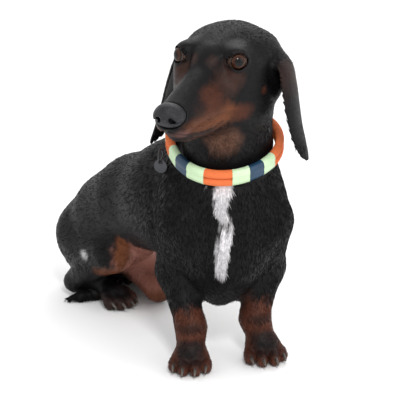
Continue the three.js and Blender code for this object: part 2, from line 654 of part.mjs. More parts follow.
// Claws: curved horns, each sunk in a socket of its toe.
const claws = {};
function claw(frame, f, l, u, length, radius) {
  return (grow) => solid(loft([0, 0.5, 1].map((t) => {
    const r = (radius * (1 - 0.78 * t ** 1.6) + grow);
    const reach = -3 - grow + (length + 3) * t + (t === 1 ? grow * 2 : 0);
    const drop = -length * 0.34 * t * t;
    return Array.from({ length: 6 }, (_, i) => {
      const a = (i / 6) * 2 * Math.PI;
      return frame.at(f + reach, l + Math.cos(a) * r * 0.72, u + drop + Math.sin(a) * r);
    });
  })));
}
function pawClaws(side, frame, scale, label) {
  toeRows.forEach(([f, l], i) => {
    claws[`claw_${label}_${side}_${i + 1}`] = claw(frame, (f + 9.5) * scale, l * scale * 1.04, TOE_HEIGHT + 0.4, 10, 2.8);
  });
}

const bodyRaw = bodySolid(level, [-170, -170, -8], [190, 160, 270], 15);
let torso = keep(keep(bodyRaw, aboveFloor), room(neckSeat[0], neckSeat[1], -GAP / 2));
torso = cut(torso, region(foreRegion(1), GAP / 2), region(foreRegion(-1), GAP / 2), region(pawRegion, GAP / 2));
torso = cut(torso, region(footRegion, GAP / 2), region(farFootRegion, GAP / 2));
torso = cut(torso, region(hindRegion.right, GAP / 2), region(hindRegion.left, GAP / 2), tailSeat);
name("torso", torso, coat);
name("tail", tail, coat);
for (const [side, s] of Object.entries(sides)) {
  const frame = pawFrames[side];
  pawClaws(side, frame, side === "left" ? 1.06 : 1.02, "fore");
  const legRaw = bodySolid(chest, [-60, s > 0 ? 10 : -130, -150], [110, s > 0 ? 130 : -10, -20], 9.6);
  const leg = keep(keep(legRaw, region(foreRegion(s), -GAP / 2)), room(new THREE.Vector3(0, 0, WRIST), DOWN, -GAP / 2));
  name(`foreleg_${side}`, leg, coat);
  let foot = keep(bodySolid(frame, [-34, -40, -5], [46, 40, 56], 5.8), aboveFloor);
  foot = keep(foot, room(new THREE.Vector3(0, 0, WRIST), UP, -GAP / 2));
  for (const [label, make] of Object.entries(claws)) {
    if (!label.includes(`fore_${side}`)) continue;
    foot = cut(foot, make(GAP));
    name(label, make(0), horn);
  }
  name(`forepaw_${side}`, foot, tan);
}
pawClaws("right", hindFrames.right, 0.9, "hind");
const hindRaw = bodySolid(pelvis, [-90, -120, -66], [110, 110, 70], 11);
const thigh = cut(keep(keep(hindRaw, region(hindRegion.right, -GAP / 2)), aboveFloor), region(footRegion, GAP / 2), tailSeat);
name("hindleg_right", thigh, coat);
const farThigh = keep(keep(hindRaw, region(hindRegion.left, -GAP / 2)), aboveFloor);
name("hindleg_left", cut(farThigh, region(farFootRegion, GAP / 2), region(footRegion, GAP / 2), tailSeat), tan);
pawClaws("left", hindFrames.left, 0.9, "hind");
const feet = {
  right: keep(bodySolid(pelvis, [-4, -75, -65], [84, 10, -18], 6.2), region(footRegion, -GAP / 2)),
  left: keep(bodySolid(farFoot, [-30, -32, -6], [44, 28, 38], 6.2), region(farFootRegion, -GAP / 2)),
};
for (const [side, raw] of Object.entries(feet)) {
  let foot = cut(keep(raw, aboveFloor), tailSeat);
  for (const [label, make] of Object.entries(claws)) {
    if (!label.includes(`hind_${side}`)) continue;
    foot = cut(foot, make(GAP));
    name(label, make(0), horn);
  }
  name(`hindfoot_${side}`, foot, tan);
}

// The tag hangs on a ring from the collar's right side.
const tagTurn = 0.52;
const tagWay = new THREE.Vector3().addScaledVector(collarSide, Math.cos(tagTurn * 2 * Math.PI))
  .addScaledVector(collarBack, Math.sin(tagTurn * 2 * Math.PI));
const ringCentre = collarCentre.clone().addScaledVector(tagWay, collarLine(tagTurn) + BAND_THICK + 6)
  .addScaledVector(collarNormal, -BAND_TALL);
const tagFrame = partFrame(ringCentre, -20);
const loop = (radius, wire, turn) => {
  const shape = stripped(new THREE.TorusGeometry(radius, wire, 5, 16));
  const q = new THREE.Quaternion().setFromUnitVectors(new THREE.Vector3(0, 0, 1), turn);
  return shape.applyQuaternion(q);
};
const ring = solid(mergeVertices(loop(6.2, 0.75, tagFrame.left).translate(...ringCentre.toArray()), 1e-4));
name("tag_ring", ring, steel);
const discShape = stripped(new THREE.CylinderGeometry(7.2, 7.2, 1.2, 24));
const discTurn = new THREE.Quaternion().setFromUnitVectors(new THREE.Vector3(0, 1, 0), tagFrame.forward);
const discCentre = tagFrame.at(0, 0, -11.6);
let disc = solid(mergeVertices(discShape.applyQuaternion(discTurn).translate(...discCentre.toArray()), 1e-4));
const holeShape = stripped(new THREE.CylinderGeometry(2.4, 2.4, 6, 14));
const holeAt = tagFrame.at(0, 0, -7.4);
disc = cut(disc, solid(mergeVertices(holeShape.applyQuaternion(discTurn).translate(...holeAt.toArray()), 1e-4)));
name("tag", disc, steel);

// The origin is the middle of the underside of the whole.
const whole = new THREE.Box3().setFromObject(dog);
const middle = whole.getCenter(new THREE.Vector3());
dog.children.forEach((mesh) => mesh.geometry.translate(-middle.x, -middle.y, -whole.min.z));

export default dog;
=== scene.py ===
# %% [markdown]
# # A seated smooth-haired dachshund
# This script dresses the imported solids of a dachshund that sits, slumped to one side, in a round collar.
# The solids give its size and place. The script gives it skin, hair, wet eyes, a leathery nose, horn
# claws and a braided collar. The frame is loaded first.

# %% Load the frame
import math

import bpy
import numpy as np
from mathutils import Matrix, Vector


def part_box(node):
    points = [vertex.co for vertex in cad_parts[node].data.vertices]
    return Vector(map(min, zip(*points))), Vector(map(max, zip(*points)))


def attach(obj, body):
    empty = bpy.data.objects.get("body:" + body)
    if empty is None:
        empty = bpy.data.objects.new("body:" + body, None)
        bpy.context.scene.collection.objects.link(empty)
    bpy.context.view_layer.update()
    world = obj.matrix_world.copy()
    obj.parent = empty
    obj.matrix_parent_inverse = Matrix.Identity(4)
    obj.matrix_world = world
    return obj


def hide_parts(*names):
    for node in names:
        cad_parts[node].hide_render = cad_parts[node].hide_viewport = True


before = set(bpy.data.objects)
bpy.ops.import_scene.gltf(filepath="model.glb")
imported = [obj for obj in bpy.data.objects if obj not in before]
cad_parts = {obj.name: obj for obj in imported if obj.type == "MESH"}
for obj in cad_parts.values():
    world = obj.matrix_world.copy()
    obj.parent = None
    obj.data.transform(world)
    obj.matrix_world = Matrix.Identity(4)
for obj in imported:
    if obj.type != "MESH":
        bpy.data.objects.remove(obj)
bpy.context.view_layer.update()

MM = 0.001
rng = np.random.default_rng(7)
print("nodes", len(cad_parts))

# %% [markdown]
# ## Frames on the body
# A body is easier to describe from its own parts than from the corner of a room. A joint is given as
# across, away and up from the paws, along the line from which the dog is seen, and BODY_TURN turns that
# to the dog's own axis. A PartFrame then gives forward, left and up on a head, a chest or a paw, so that
# left and right can share their numbers. Empty objects as parents would do the same, but plain arrays can
# be worked on all at once. Lengths here are in millimetres.

# %% Joints and part frames
BODY_TURN = math.radians(-30)
COS, SIN = math.cos(BODY_TURN), math.sin(BODY_TURN)
TURN = np.array([[COS, SIN, 0], [-SIN, COS, 0], [0, 0, 1]])


def joint(across, away, up):
    """The point across, away and up, turned to the body's axis."""
    return np.array([across, away, up], float) @ TURN


class PartFrame:
    """Forward, left and up on one part of the body, yawed and pitched by the given degrees."""

    def __init__(self, origin, yaw, pitch=0.0):
        y = math.radians(yaw) + BODY_TURN
        p = math.radians(pitch)
        self.origin = np.array(origin, float)
        self.forward = np.array([math.sin(y) * math.cos(p), -math.cos(y) * math.cos(p), math.sin(p)])
        self.left = np.array([math.cos(y), math.sin(y), 0.0])
        self.up = np.cross(self.forward, self.left)
        self.axes = np.stack([self.forward, self.left, self.up])

    def along(self, f, l, u):
        """A direction of f forward, l left and u up."""
        return np.array([f, l, u], float) @ self.axes

    def at(self, f, l, u):
        """The point f forward, l left and u up of the origin."""
        return self.origin + self.along(f, l, u)

    def local(self, points):
        """Points as forward, left and up."""
        return (points - self.origin) @ self.axes.T

# %% [markdown]
# ## Flesh as a field
# Under a smooth coat the body reads as muscle and bone that run into one another with no seam. Metaballs
# or a sculpt could make that. Here every muscle is a distance, below zero inside it, because distances
# melt together exactly, can be carved by one another, and give the same skin at any fineness. The solids
# are made from the same list.

# %% Limbs and eggs
FAR = 60.0


class Limb:
    """A rod whose radius runs from ra at a to rb at b: distance to its line, less the radius there."""

    def __init__(self, a, b, ra, rb, melt):
        self.a, self.b, self.ra, self.rb, self.melt = np.array(a), np.array(b), ra, rb, melt
        self.low = np.minimum(self.a - ra, self.b - rb)
        self.high = np.maximum(self.a + ra, self.b + rb)

    def distance(self, p):
        run = self.b - self.a
        q = p - self.a
        t = np.clip(q @ run / max(run @ run, 1e-9), 0, 1)
        q = q - t[..., None] * run
        return np.sqrt((q * q).sum(-1)) - (self.ra + (self.rb - self.ra) * t)


class Egg:
    """An ellipsoid in a part's frame: length of the scaled vector, times itself less one, over its slope."""

    def __init__(self, part, f, l, u, rf, rl, ru, melt):
        self.part, self.centre, self.melt = part, part.at(f, l, u), melt
        self.r = np.array([rf, rl, ru], float)
        reach = np.sqrt(((part.axes * self.r[:, None]) ** 2).sum(0))
        self.low, self.high = self.centre - reach, self.centre + reach

    def distance(self, p):
        q = (p - self.centre) @ self.part.axes.T
        k0 = np.sqrt(((q / self.r) ** 2).sum(-1)) + 1e-6
        k1 = np.sqrt(((q / self.r**2) ** 2).sum(-1)) + 1e-9
        return k0 * (k0 - 1) / k1


def melted(f, d, k, hollow=False):
    """The nearer of two fields, rounded over the width k where they meet, or f with d cut from it."""
    if hollow:
        h = np.maximum(k - np.abs(f + d), 0) / k
        return np.maximum(f, -d) + h * h * k * 0.25
    h = np.maximum(k - np.abs(f - d), 0) / k
    return np.minimum(f, d) - h * h * k * 0.25


flesh = []


def add(shape, hollow=False):
    """Adds a shape to the flesh, or hollows the flesh by it."""
    shape.hollow = hollow
    flesh.append(shape)

# %% [markdown]
# ## Trunk, neck and legs
# A dachshund's trunk is long and deep, with the breastbone standing forward between short, strong
# forelegs. It sits here on its right haunch: the trunk's rods drop from the withers to the rump, and the
# hind legs fold to one side. Each leg is rods from joint to joint, with the radius of the real leg at
# each.

# %% Trunk, neck and legs
CHEST_RADIUS = 69
NECK_RADIUS = 41
FORE_CARPUS_RADIUS = 14.5
HOCK_RADIUS = 12
TOE_HEIGHT = 9.5
SIDES = {"right": -1, "left": 1}

trunk = [
    (joint(-6, 28, 172), 47),
    (joint(-9, 52, 150), CHEST_RADIUS - 3),
    (joint(-47, 118, 149), CHEST_RADIUS - 9),
    (joint(-93, 172, 126), 49),
    (joint(-118, 206, 97), 49),
    (joint(-134, 236, 70), 45),
    (joint(-138, 254, 46), 37),
]
for (a, ra), (b, rb) in zip(trunk, trunk[1:]):
    add(Limb(a, b, ra, rb, 22))
chest = PartFrame(joint(-7, 50, 150), 8)
add(Limb(chest.at(36, 0, -30), chest.at(-8, 0, -67), 33, 31, 24))
add(Limb(chest.at(-22, 0, 54), chest.at(-66, -4, 42), 31, 30, 24))

neck_base, neck_middle, neck_top = joint(-5, 50, 190), joint(0, 45, 230), joint(0, 34, 280)
add(Limb(neck_base, neck_middle, 49, NECK_RADIUS, 20))
add(Limb(neck_middle, neck_top, NECK_RADIUS, 40, 20))

paw_frames = {"right": PartFrame(joint(-38, 6, 0), -4), "left": PartFrame(joint(36, 32, 0), 14)}
wrists = {"right": joint(-38, 13, 42), "left": joint(28, 39, 42)}
for side, s in SIDES.items():
    shoulder = chest.at(37, 43 * s, 6)
    elbow = chest.at(-3, 46 * s, -57)
    add(Limb(chest.at(-18, 32 * s, 58), shoulder, 22, 23, 18))
    add(Limb(shoulder, elbow, 24, 19, 8))
    add(Egg(chest, -4, 48 * s, -10, 30, 18, 42, 9))
    add(Limb(elbow, wrists[side], 20, FORE_CARPUS_RADIUS, 14))
    add(Limb(wrists[side], paw_frames[side].at(2, 0, 19), FORE_CARPUS_RADIUS, 15, 10))

hip = {"right": joint(-152, 220, 72), "left": joint(-112, 248, 50)}
knee = {"right": joint(-125, 162, 72), "left": joint(-75, 190, 19)}
hock = {"right": joint(-170, 216, 17), "left": joint(-98, 300, 15)}
instep = {"right": joint(-143, 203, 22), "left": joint(-109, 289, 12)}
hind_frames = {"right": PartFrame(joint(-124, 186, 0), 34), "left": PartFrame(joint(-118, 267, 0), 2)}
add(Limb(hip["right"], knee["right"], 38, 23, 9))
add(Limb(hip["right"], joint(-160, 238, 44), 33, 21, 16))
add(Limb(knee["right"], hock["right"], 21, HOCK_RADIUS, 12))
add(Limb(hip["left"], knee["left"], 32, 15, 16))
add(Limb(knee["left"], hock["left"], 15, HOCK_RADIUS - 1, 10))
for side in SIDES:
    add(Limb(hock[side], instep[side], HOCK_RADIUS - 0.5, 9.2, 8))
    add(Limb(instep[side], hind_frames[side].at(0, 0, 12), 9.2, 11, 8))

# Each toe's reach forward and to the left from the middle of its paw.
toe_rows = [(18, -6), (18, 6), (9.5, -15.6), (9.5, 15.6)]
PAW_SCALES = {"right": 1.02, "left": 1.06}
HIND_SCALE = 0.9


def paw(part, scale):
    """A pad, and four toes that are each a rod from the pad and an egg at its end."""
    add(Egg(part, 0, 0, 13 * scale, 17 * scale, 17 * scale, 13 * scale, 8))
    for f, l in toe_rows:
        knuckle = part.at(f * 0.2, l * 0.75, 15 * scale)
        add(Limb(knuckle, part.at(f * scale, l * scale, TOE_HEIGHT + 1), 7, 6.4, 2))
        add(Egg(part, (f + 3.5) * scale, l * scale * 1.04, TOE_HEIGHT - 1.7, 8.5, 6.3, 7.8, 2))


for side in SIDES:
    paw(paw_frames[side], PAW_SCALES[side])
for side in SIDES:
    paw(hind_frames[side], HIND_SCALE)
print("flesh", len(flesh))

# %% [markdown]
# ## Tail and head
# The tail comes round the haunch and lies on the floor in a hook. The head is long and tapers without a
# marked stop: a skull, two cheeks, a muzzle of an upper and a lower jaw, brows, and a root for each ear,
# with a hollow between the eyes and a furrow along the crown.

# %% Tail and head
tail_line = [
    (-152, 268, 28), (-148, 250, 13), (-137, 229, 9), (-134, 212, 8), (-146, 200, 7),
    (-163, 195, 6.5), (-181, 193, 3),
]
tail_radii = [11, 9.5, 8, 7, 6, 6, 1.2]
for (a, ra), (b, rb) in zip(zip(tail_line, tail_radii), zip(tail_line[1:], tail_radii[1:])):
    add(Limb(joint(*a), joint(*b), ra, rb, 3))

head = PartFrame(joint(-22, -7, 330), -26)
add(Egg(head, -54, 0, -9, 50, 42, 35, 10))
add(Limb(head.at(-74, 0, -26), neck_top, 31, 41, 18))
add(Egg(head, -20, 0, -4, 30, 27, 18, 14))
add(Limb(head.at(-6, 0, -14), head.at(72, 0, -38.5), 18, 12, 12))
add(Limb(head.at(-34, 0, -58), head.at(64, 0, -59), 22, 8, 7))
add(Egg(head, -40, 0, -54, 40, 35, 30, 22))
add(Egg(head, 75, 0, -48, 10, 13, 8, 6))
add(Limb(head.at(-22, 0, -64), joint(-12, 16, 238), 22, 30, 20))
for s in SIDES.values():
    add(Egg(head, -30, 28 * s, -15, 33, 17, 21, 14))
    add(Egg(head, -62, 27 * s, -2, 28, 19, 16, 12))
    add(Egg(head, -34, 28 * s, -42, 34, 15, 28, 14))
    add(Limb(head.at(-8, 15 * s, -37), head.at(66, 8.5 * s, -45), 18.5, 11.5, 14))
    add(Limb(head.at(-24, 16 * s, -57), head.at(56, 7 * s, -60), 14, 6.5, 9))
    add(Egg(head, -12, 25 * s, 8.5, 12, 9, 4.5, 9))
    add(Egg(head, -70, 42 * s, -15, 20, 10, 11, 10))
    add(Egg(head, -66, 42 * s, -28, 13, 10, 22, 12))
    add(Egg(head, 11, 23 * s, -4, 10, 5, 7, 9), hollow=True)
add(Limb(head.at(-60, 0, 33), head.at(-12, 0, 25), 4.5, 6, 10), hollow=True)

neck_flesh = list(flesh)
EYE_RADIUS = 10.4
EYE_TURN = math.radians(38)
eye_centres = {side: head.at(-8, 28 * s, -1) for side, s in SIDES.items()}

# %% [markdown]
# ## From this frame to the model's
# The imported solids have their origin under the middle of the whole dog, and this list of flesh has its
# own near the forepaws. The left eye's solid is a ball round a point that is known in both, so the step
# between them is measured.

# %% The step to the model's origin
eye_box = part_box("eye_left")
SHIFT = (np.array(eye_box[0]) + np.array(eye_box[1])) / 2 - eye_centres["left"] * MM
print("shift", SHIFT)


def metres(points):
    """Millimetres in the body's frame as metres in the model's."""
    return np.asarray(points) * MM + SHIFT

# %% [markdown]
# ## Drawing the field as a mesh
# A field is only numbers until a surface is drawn where it reads zero. Marching cubes could draw it, but
# leaves thin slivers. Surface nets put one point in each cell of a lattice that the surface crosses and
# join neighbours by even four-cornered faces, and the points are then moved along the field's slope until
# they lie on it. Each shape is worked out only near itself, which keeps a fine lattice quick.

# %% Fields, surface nets and settling
def lattice_field(shapes, low, high, cell):
    """The melted field of the shapes on a lattice from low to high."""
    n = np.ceil((np.array(high) - low) / cell).astype(int) + 1
    axes = [low[i] + cell * np.arange(n[i]) for i in range(3)]
    f = np.full(n, FAR, np.float32)
    for shape in shapes:
        pad = 3 * cell + shape.melt + 6
        start = np.clip(np.floor((shape.low - pad - low) / cell).astype(int), 0, n)
        stop = np.clip(np.ceil((shape.high + pad - low) / cell).astype(int) + 1, 0, n)
        if (stop <= start).any():
            continue
        part = tuple(slice(start[i], stop[i]) for i in range(3))
        grid = np.stack(np.meshgrid(*(axes[i][part[i]] for i in range(3)), indexing="ij"), -1)
        f[part] = melted(f[part], shape.distance(grid), shape.melt, shape.hollow)
    for axis in range(3):
        for end in (0, -1):
            f[tuple(end if i == axis else slice(None) for i in range(3))] = FAR
    return f


def field_at(shapes, p):
    """The melted field of the shapes at scattered points."""
    f = np.full(len(p), FAR)
    for shape in shapes:
        near = ((p >= shape.low - shape.melt - 24) & (p <= shape.high + shape.melt + 24)).all(-1)
        if near.any():
            f[near] = melted(f[near], shape.distance(p[near]), shape.melt, shape.hollow)
    return f


def level_mesh(f, low, cell):
    """Points and faces of the zero level: each crossed cell's point is the mean of its edges' crossings."""
    inside = f < 0
    count = np.zeros(np.array(f.shape) - 1)
    total = np.zeros(tuple(np.array(f.shape) - 1) + (3,), np.float32)
    for corner in np.ndindex(2, 2, 2):
        for axis in range(3):
            if corner[axis]:
                continue
            other = np.array(corner)
            other[axis] = 1
            a = f[tuple(slice(corner[i], f.shape[i] - 1 + corner[i]) for i in range(3))]
            b = f[tuple(slice(other[i], f.shape[i] - 1 + other[i]) for i in range(3))]
            crossed = (a < 0) != (b < 0)
            share = np.where(crossed, a / np.where(crossed, a - b, 1), 0)
            count += crossed
            for i in range(3):
                total[..., i] += np.where(crossed, corner[i] + (share if i == axis else 0), 0)
    has = count > 0
    number = np.full(has.shape, -1)
    number[has] = np.arange(has.sum())
    points = low + cell * (np.stack(np.nonzero(has), -1) + total[has] / count[has][:, None])
    faces = []
    for axis in range(3):
        u, v = [(1, 2), (2, 0), (0, 1)][axis]
        lower = tuple(slice(0, -1) if i == axis else slice(None) for i in range(3))
        upper = tuple(slice(1, None) if i == axis else slice(None) for i in range(3))
        edge = np.stack(np.nonzero(inside[lower] != inside[upper]), -1)
        ring = []
        for du, dv in ((1, 1), (0, 1), (0, 0), (1, 0)):
            cell_at = edge.copy()
            cell_at[:, u] -= du
            cell_at[:, v] -= dv
            ring.append(number[tuple(cell_at.T)])
        quad = np.stack(ring, -1)
        back = ~inside[lower][tuple(edge.T)]
        quad[back] = quad[back][:, ::-1]
        faces.append(quad)
    return points, np.concatenate(faces)


def settled(shapes, p, cell, level=0.0, turns=2):
    """Points moved to where the field reads minus level, by its value over the square of its slope."""
    e = 0.4
    for _ in range(turns):
        f = field_at(shapes, p) + level
        slope = np.stack([field_at(shapes, p + step) + level - f for step in np.eye(3) * e], -1) / e
        steep = np.maximum((slope**2).sum(-1), 0.15)
        step = -(f / steep)[:, None] * slope
        size = np.linalg.norm(step, axis=1, keepdims=True) + 1e-9
        p = p + step * np.minimum(1, cell * 0.4 / size)
    return p

# %% [markdown]
# ## Mesh objects from arrays
# Every piece here is an array of points and an array of faces. foreach_set copies whole arrays into
# Blender, which is many times quicker than adding points one by one, and colours go in as an attribute
# that the materials read.

# %% Mesh and colour helpers
def mesh_object(name, points, faces, smooth=True):
    """A mesh object from an array of points in metres and an array of faces that all have as many corners."""
    points = np.asarray(points, np.float32)
    faces = np.asarray(faces, np.int32)
    mesh = bpy.data.meshes.new(name)
    mesh.vertices.add(len(points))
    mesh.vertices.foreach_set("co", points.ravel())
    mesh.loops.add(faces.size)
    mesh.loops.foreach_set("vertex_index", faces.ravel())
    mesh.polygons.add(len(faces))
    mesh.polygons.foreach_set("loop_start", np.arange(0, faces.size, faces.shape[1], dtype=np.int32))
    mesh.update(calc_edges=True)
    mesh.validate()
    if smooth:
        mesh.polygons.foreach_set("use_smooth", np.ones(len(mesh.polygons), bool))
    ob = bpy.data.objects.new(name, mesh)
    bpy.context.collection.objects.link(ob)
    return ob


def paint(ob, colours, name="marking"):
    """Writes one colour a vertex as an attribute."""
    layer = ob.data.color_attributes.new(name, "FLOAT_COLOR", "POINT")
    rgba = np.ones((len(ob.data.vertices), 4), np.float32)
    rgba[:, :3] = colours
    layer.data.foreach_set("color", rgba.ravel())

# %% [markdown]
# ## Eyelids, mouth and nose seat
# Lids are what makes an eye look alive: a thin rim that wraps the ball and opens in an almond, darker and
# wet at its edge. They could be modelled as strips, but a shell melted into the face, with the ball and
# an almond carved out of it, joins the brow and cheek as real lids do. The mouth is a narrow fold under
# the lips, carved as a thin rod that follows the edge of the jaw, and the nose leather gets a seat.

# %% Lids, mouth and nose seat
class Almond:
    """The room in front of an eye, an almond seen along its gaze: the scaled distance from the gaze line."""

    def __init__(self, centre, gaze, half_width, half_height, melt):
        self.centre, self.gaze, self.melt = centre, gaze, melt
        self.w, self.h = half_width, half_height
        self.across = np.cross([0, 0, 1.0], gaze)
        self.across /= np.linalg.norm(self.across)
        self.over = np.cross(gaze, self.across)
        self.low, self.high = centre - 22, centre + 26

    def distance(self, p):
        q = p - self.centre
        x, y, z = q @ self.across, q @ self.over, q @ self.gaze
        a = np.abs(x) / self.w
        span = np.sqrt(a**2 + (y / self.h * (1 + 0.25 * a**2)) ** 2)
        return np.maximum((span - 1) * self.h, 2 - z)


LID_RADIUS = EYE_RADIUS + 2.2
SOCKET_RADIUS = EYE_RADIUS + 0.15
gazes = {}
for side, s in SIDES.items():
    gaze = head.along(math.cos(EYE_TURN), math.sin(EYE_TURN) * s, 0.06)
    gazes[side] = gaze / np.linalg.norm(gaze)
    part = PartFrame(eye_centres[side], 0)
    add(Egg(part, 0, 0, 0, LID_RADIUS, LID_RADIUS, LID_RADIUS, 3.5))
    add(Egg(part, 0, 0, 0, SOCKET_RADIUS, SOCKET_RADIUS, SOCKET_RADIUS, 0.6), hollow=True)
    add(Almond(eye_centres[side], gazes[side], 8.7, 7.4, 1.6), hollow=True)

# The mouth from its corner to the middle of the lip, forward, aside and up on the head.
mouth_line = [
    (14, 24.5, -57.5), (19.6, 22.3, -60.5), (26, 20.3, -62), (34, 18.3, -62.5), (46, 16.3, -62),
    (60, 14.6, -60), (74, 10.6, -57.2), (81, 6.5, -54.6), (84.5, 0, -52.6),
]
MOUTH_FOLD = 1.15
for s in SIDES.values():
    for (f0, l0, u0), (f1, l1, u1) in zip(mouth_line, mouth_line[1:]):
        add(Limb(head.at(f0, l0 * s, u0), head.at(f1, l1 * s, u1), MOUTH_FOLD, MOUTH_FOLD, 1.2), hollow=True)
add(Egg(head, 80, 0, -38, 14, 15.2, 11.2, 1.5), hollow=True)

# %% [markdown]
# ## Ears
# A dachshund's ear is a soft leather, set high, that folds over at its root and hangs cupped beside the
# cheek. It could be a flat mesh with thickness, joined to the head by hand. Here it is one more distance
# in the flesh, so that it grows out of the skull: how far a point is from a bent, cupped middle surface,
# read from the nearest of many points on that surface.

# %% Ears
# Each row from root to tip: out to the side, up, half the width and half the thickness.
EAR_ROWS = np.array([
    [40, -15, 13, 6], [48, -12, 15, 5], [54.5, -14, 20, 4], [59.5, -20, 23.5, 3],
    [63.5, -32, 25.5, 2.5], [66.5, -46, 26, 2.3], [69.5, -62, 24.5, 2.2], [73, -78, 22, 2.1],
    [77, -91, 18.5, 2], [80.5, -101, 13.5, 1.8], [82.5, -106.5, 6, 1.2],
])
EAR_CUP = 7
EAR_BACK = -66
EAR_HANG = 109
EAR_MELT = 5
# How far forward each ear's tip swings, and how far the leather is turned outward.
EAR_SET = {"left": (6, math.radians(10)), "right": (24, 0.0)}


def smooth_rows(rows, count):
    """Rows at even steps along a table, each column a smooth curve through it."""
    t = np.linspace(0, len(rows) - 1, count)
    i = np.clip(t.astype(int), 0, len(rows) - 2)
    u = (t - i)[:, None]
    slope = np.gradient(rows, axis=0)
    h00, h10 = 2 * u**3 - 3 * u**2 + 1, u**3 - 2 * u**2 + u
    h01, h11 = -2 * u**3 + 3 * u**2, u**3 - u**2
    return h00 * rows[i] + h10 * slope[i] + h01 * rows[i + 1] + h11 * slope[i + 1]


class Leather:
    """A cupped leather: height over its middle surface and reach past its rim, less half its thickness."""

    def __init__(self, s, forward, turned, melt):
        count, wide = ((110, 57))
        rows = smooth_rows(EAR_ROWS, count)
        l, u, half, thick = rows.T
        step = np.gradient(rows[:, :2], axis=0)
        normal = np.stack([-step[:, 1], step[:, 0]], -1)
        normal /= np.linalg.norm(normal, axis=1, keepdims=True)
        fall = np.maximum(0, 4 - u) / EAR_HANG
        row = np.linspace(0, len(EAR_ROWS) - 1, count)
        cup = EAR_CUP * np.minimum(1, row / 4) * (half / 30)
        w = np.linspace(-1, 1, wide)[None, :]
        out = -cup[:, None] * w**2
        across = l[:, None] + normal[:, :1] * out + w * half[:, None] * math.sin(turned)
        up = u[:, None] + normal[:, 1:] * out
        along = EAR_BACK + (fall * forward)[:, None] + w * half[:, None] * math.cos(turned)
        grid = head.origin + np.stack([along, across * s, up], -1) @ head.axes
        tangent_u, tangent_w = np.gradient(grid, axis=0), np.gradient(grid, axis=1)
        face = np.cross(tangent_u, tangent_w)
        face /= np.linalg.norm(face, axis=-1, keepdims=True)
        self.points, self.faces = grid.reshape(-1, 3), face.reshape(-1, 3)
        rim = np.sqrt(np.maximum(0.12, 1 - w**4))
        self.thick = (thick[:, None] * rim).ravel()
        self.melt = melt
        self.low, self.high = self.points.min(0) - 7, self.points.max(0) + 7

    def distance(self, p):
        shape = p.shape[:-1]
        q = p.reshape(-1, 3).astype(np.float32)
        out = np.full(len(q), 20.0)
        near = ((q > self.low - 6) & (q < self.high + 6)).all(-1)
        index = np.nonzero(near)[0]
        squares = (self.points**2).sum(-1).astype(np.float32)
        table = self.points.astype(np.float32)
        for chunk in np.array_split(index, max(1, len(index) // 4000)):
            if len(chunk) == 0:
                continue
            nearest = np.argmin(squares - 2 * q[chunk] @ table.T, axis=1)
            gap = q[chunk] - self.points[nearest]
            height = (gap * self.faces[nearest]).sum(-1)
            beside = np.sqrt(np.maximum((gap**2).sum(-1) - height**2, 0))
            past = np.maximum(beside - (0.7), 0)
            out[chunk] = np.sqrt(height**2 + past**2) - self.thick[nearest]
        return out.reshape(shape)


for side, s in SIDES.items():
    add(Leather(s, *EAR_SET[side], EAR_MELT))
print("flesh", len(flesh))

# %% [markdown]
# ## Markings
# A black and tan coat: near-black over the back, tan on the lips, cheeks, throat, feet and belly, with
# brown where the two meet, and a white strip down this dog's chest. An image could be painted, but it
# would tie the coat to one unwrap. A marking here is an egg of colour set on one part of the body, soft
# at its rim and ragged by a sum of sines, so the skin and every tuft can ask for the colour at any point.
# Colours are linear.

# %% Colours and patches
BLACK = np.array([0.0042, 0.0038, 0.0044])
TAN = np.array([0.12, 0.038, 0.014])
MAHOGANY = np.array([0.085, 0.026, 0.014])
BROWN = np.array([0.04, 0.018, 0.013])
THROAT = np.array([0.095, 0.045, 0.029])
REDDISH = np.array([0.06, 0.018, 0.009])
PINK = np.array([0.22, 0.1, 0.085])
EAR_BROWN = np.array([0.03, 0.012, 0.009])
BELLY = np.array([0.24, 0.1, 0.075])
WHITE = np.array([0.74, 0.72, 0.74])
LIP = np.array([0.008, 0.006, 0.007])

waves = rng.normal(0, 1, (18, 3))
waves /= np.linalg.norm(waves, axis=1, keepdims=True)
wave_steps = rng.uniform(0.25, 1.3, 18)
wave_starts = rng.uniform(0, 2 * np.pi, 18)


def ragged(p):
    """A rough number near zero at each point: the mean of eighteen sines of different ways and lengths."""
    return np.sin((p @ waves.T) * wave_steps + wave_starts).mean(-1) * 2.4


def patch(part, f, l, u, rf, rl, ru, colour, soft=0.25, share=1.0):
    """An egg of colour with its rim softened over the given share of its radius."""
    return (part.at(f, l, u), part.axes, np.array([rf, rl, ru], float), colour, soft, share)


here = PartFrame(joint(0, 0, 0), 0)


def spot(across, away, up, rx, ry, rz, colour, soft=0.25, share=1.0):
    """A patch placed by a joint's own numbers."""
    return (joint(across, away, up), here.axes, np.array([ry, rx, rz], float), colour, soft, share)


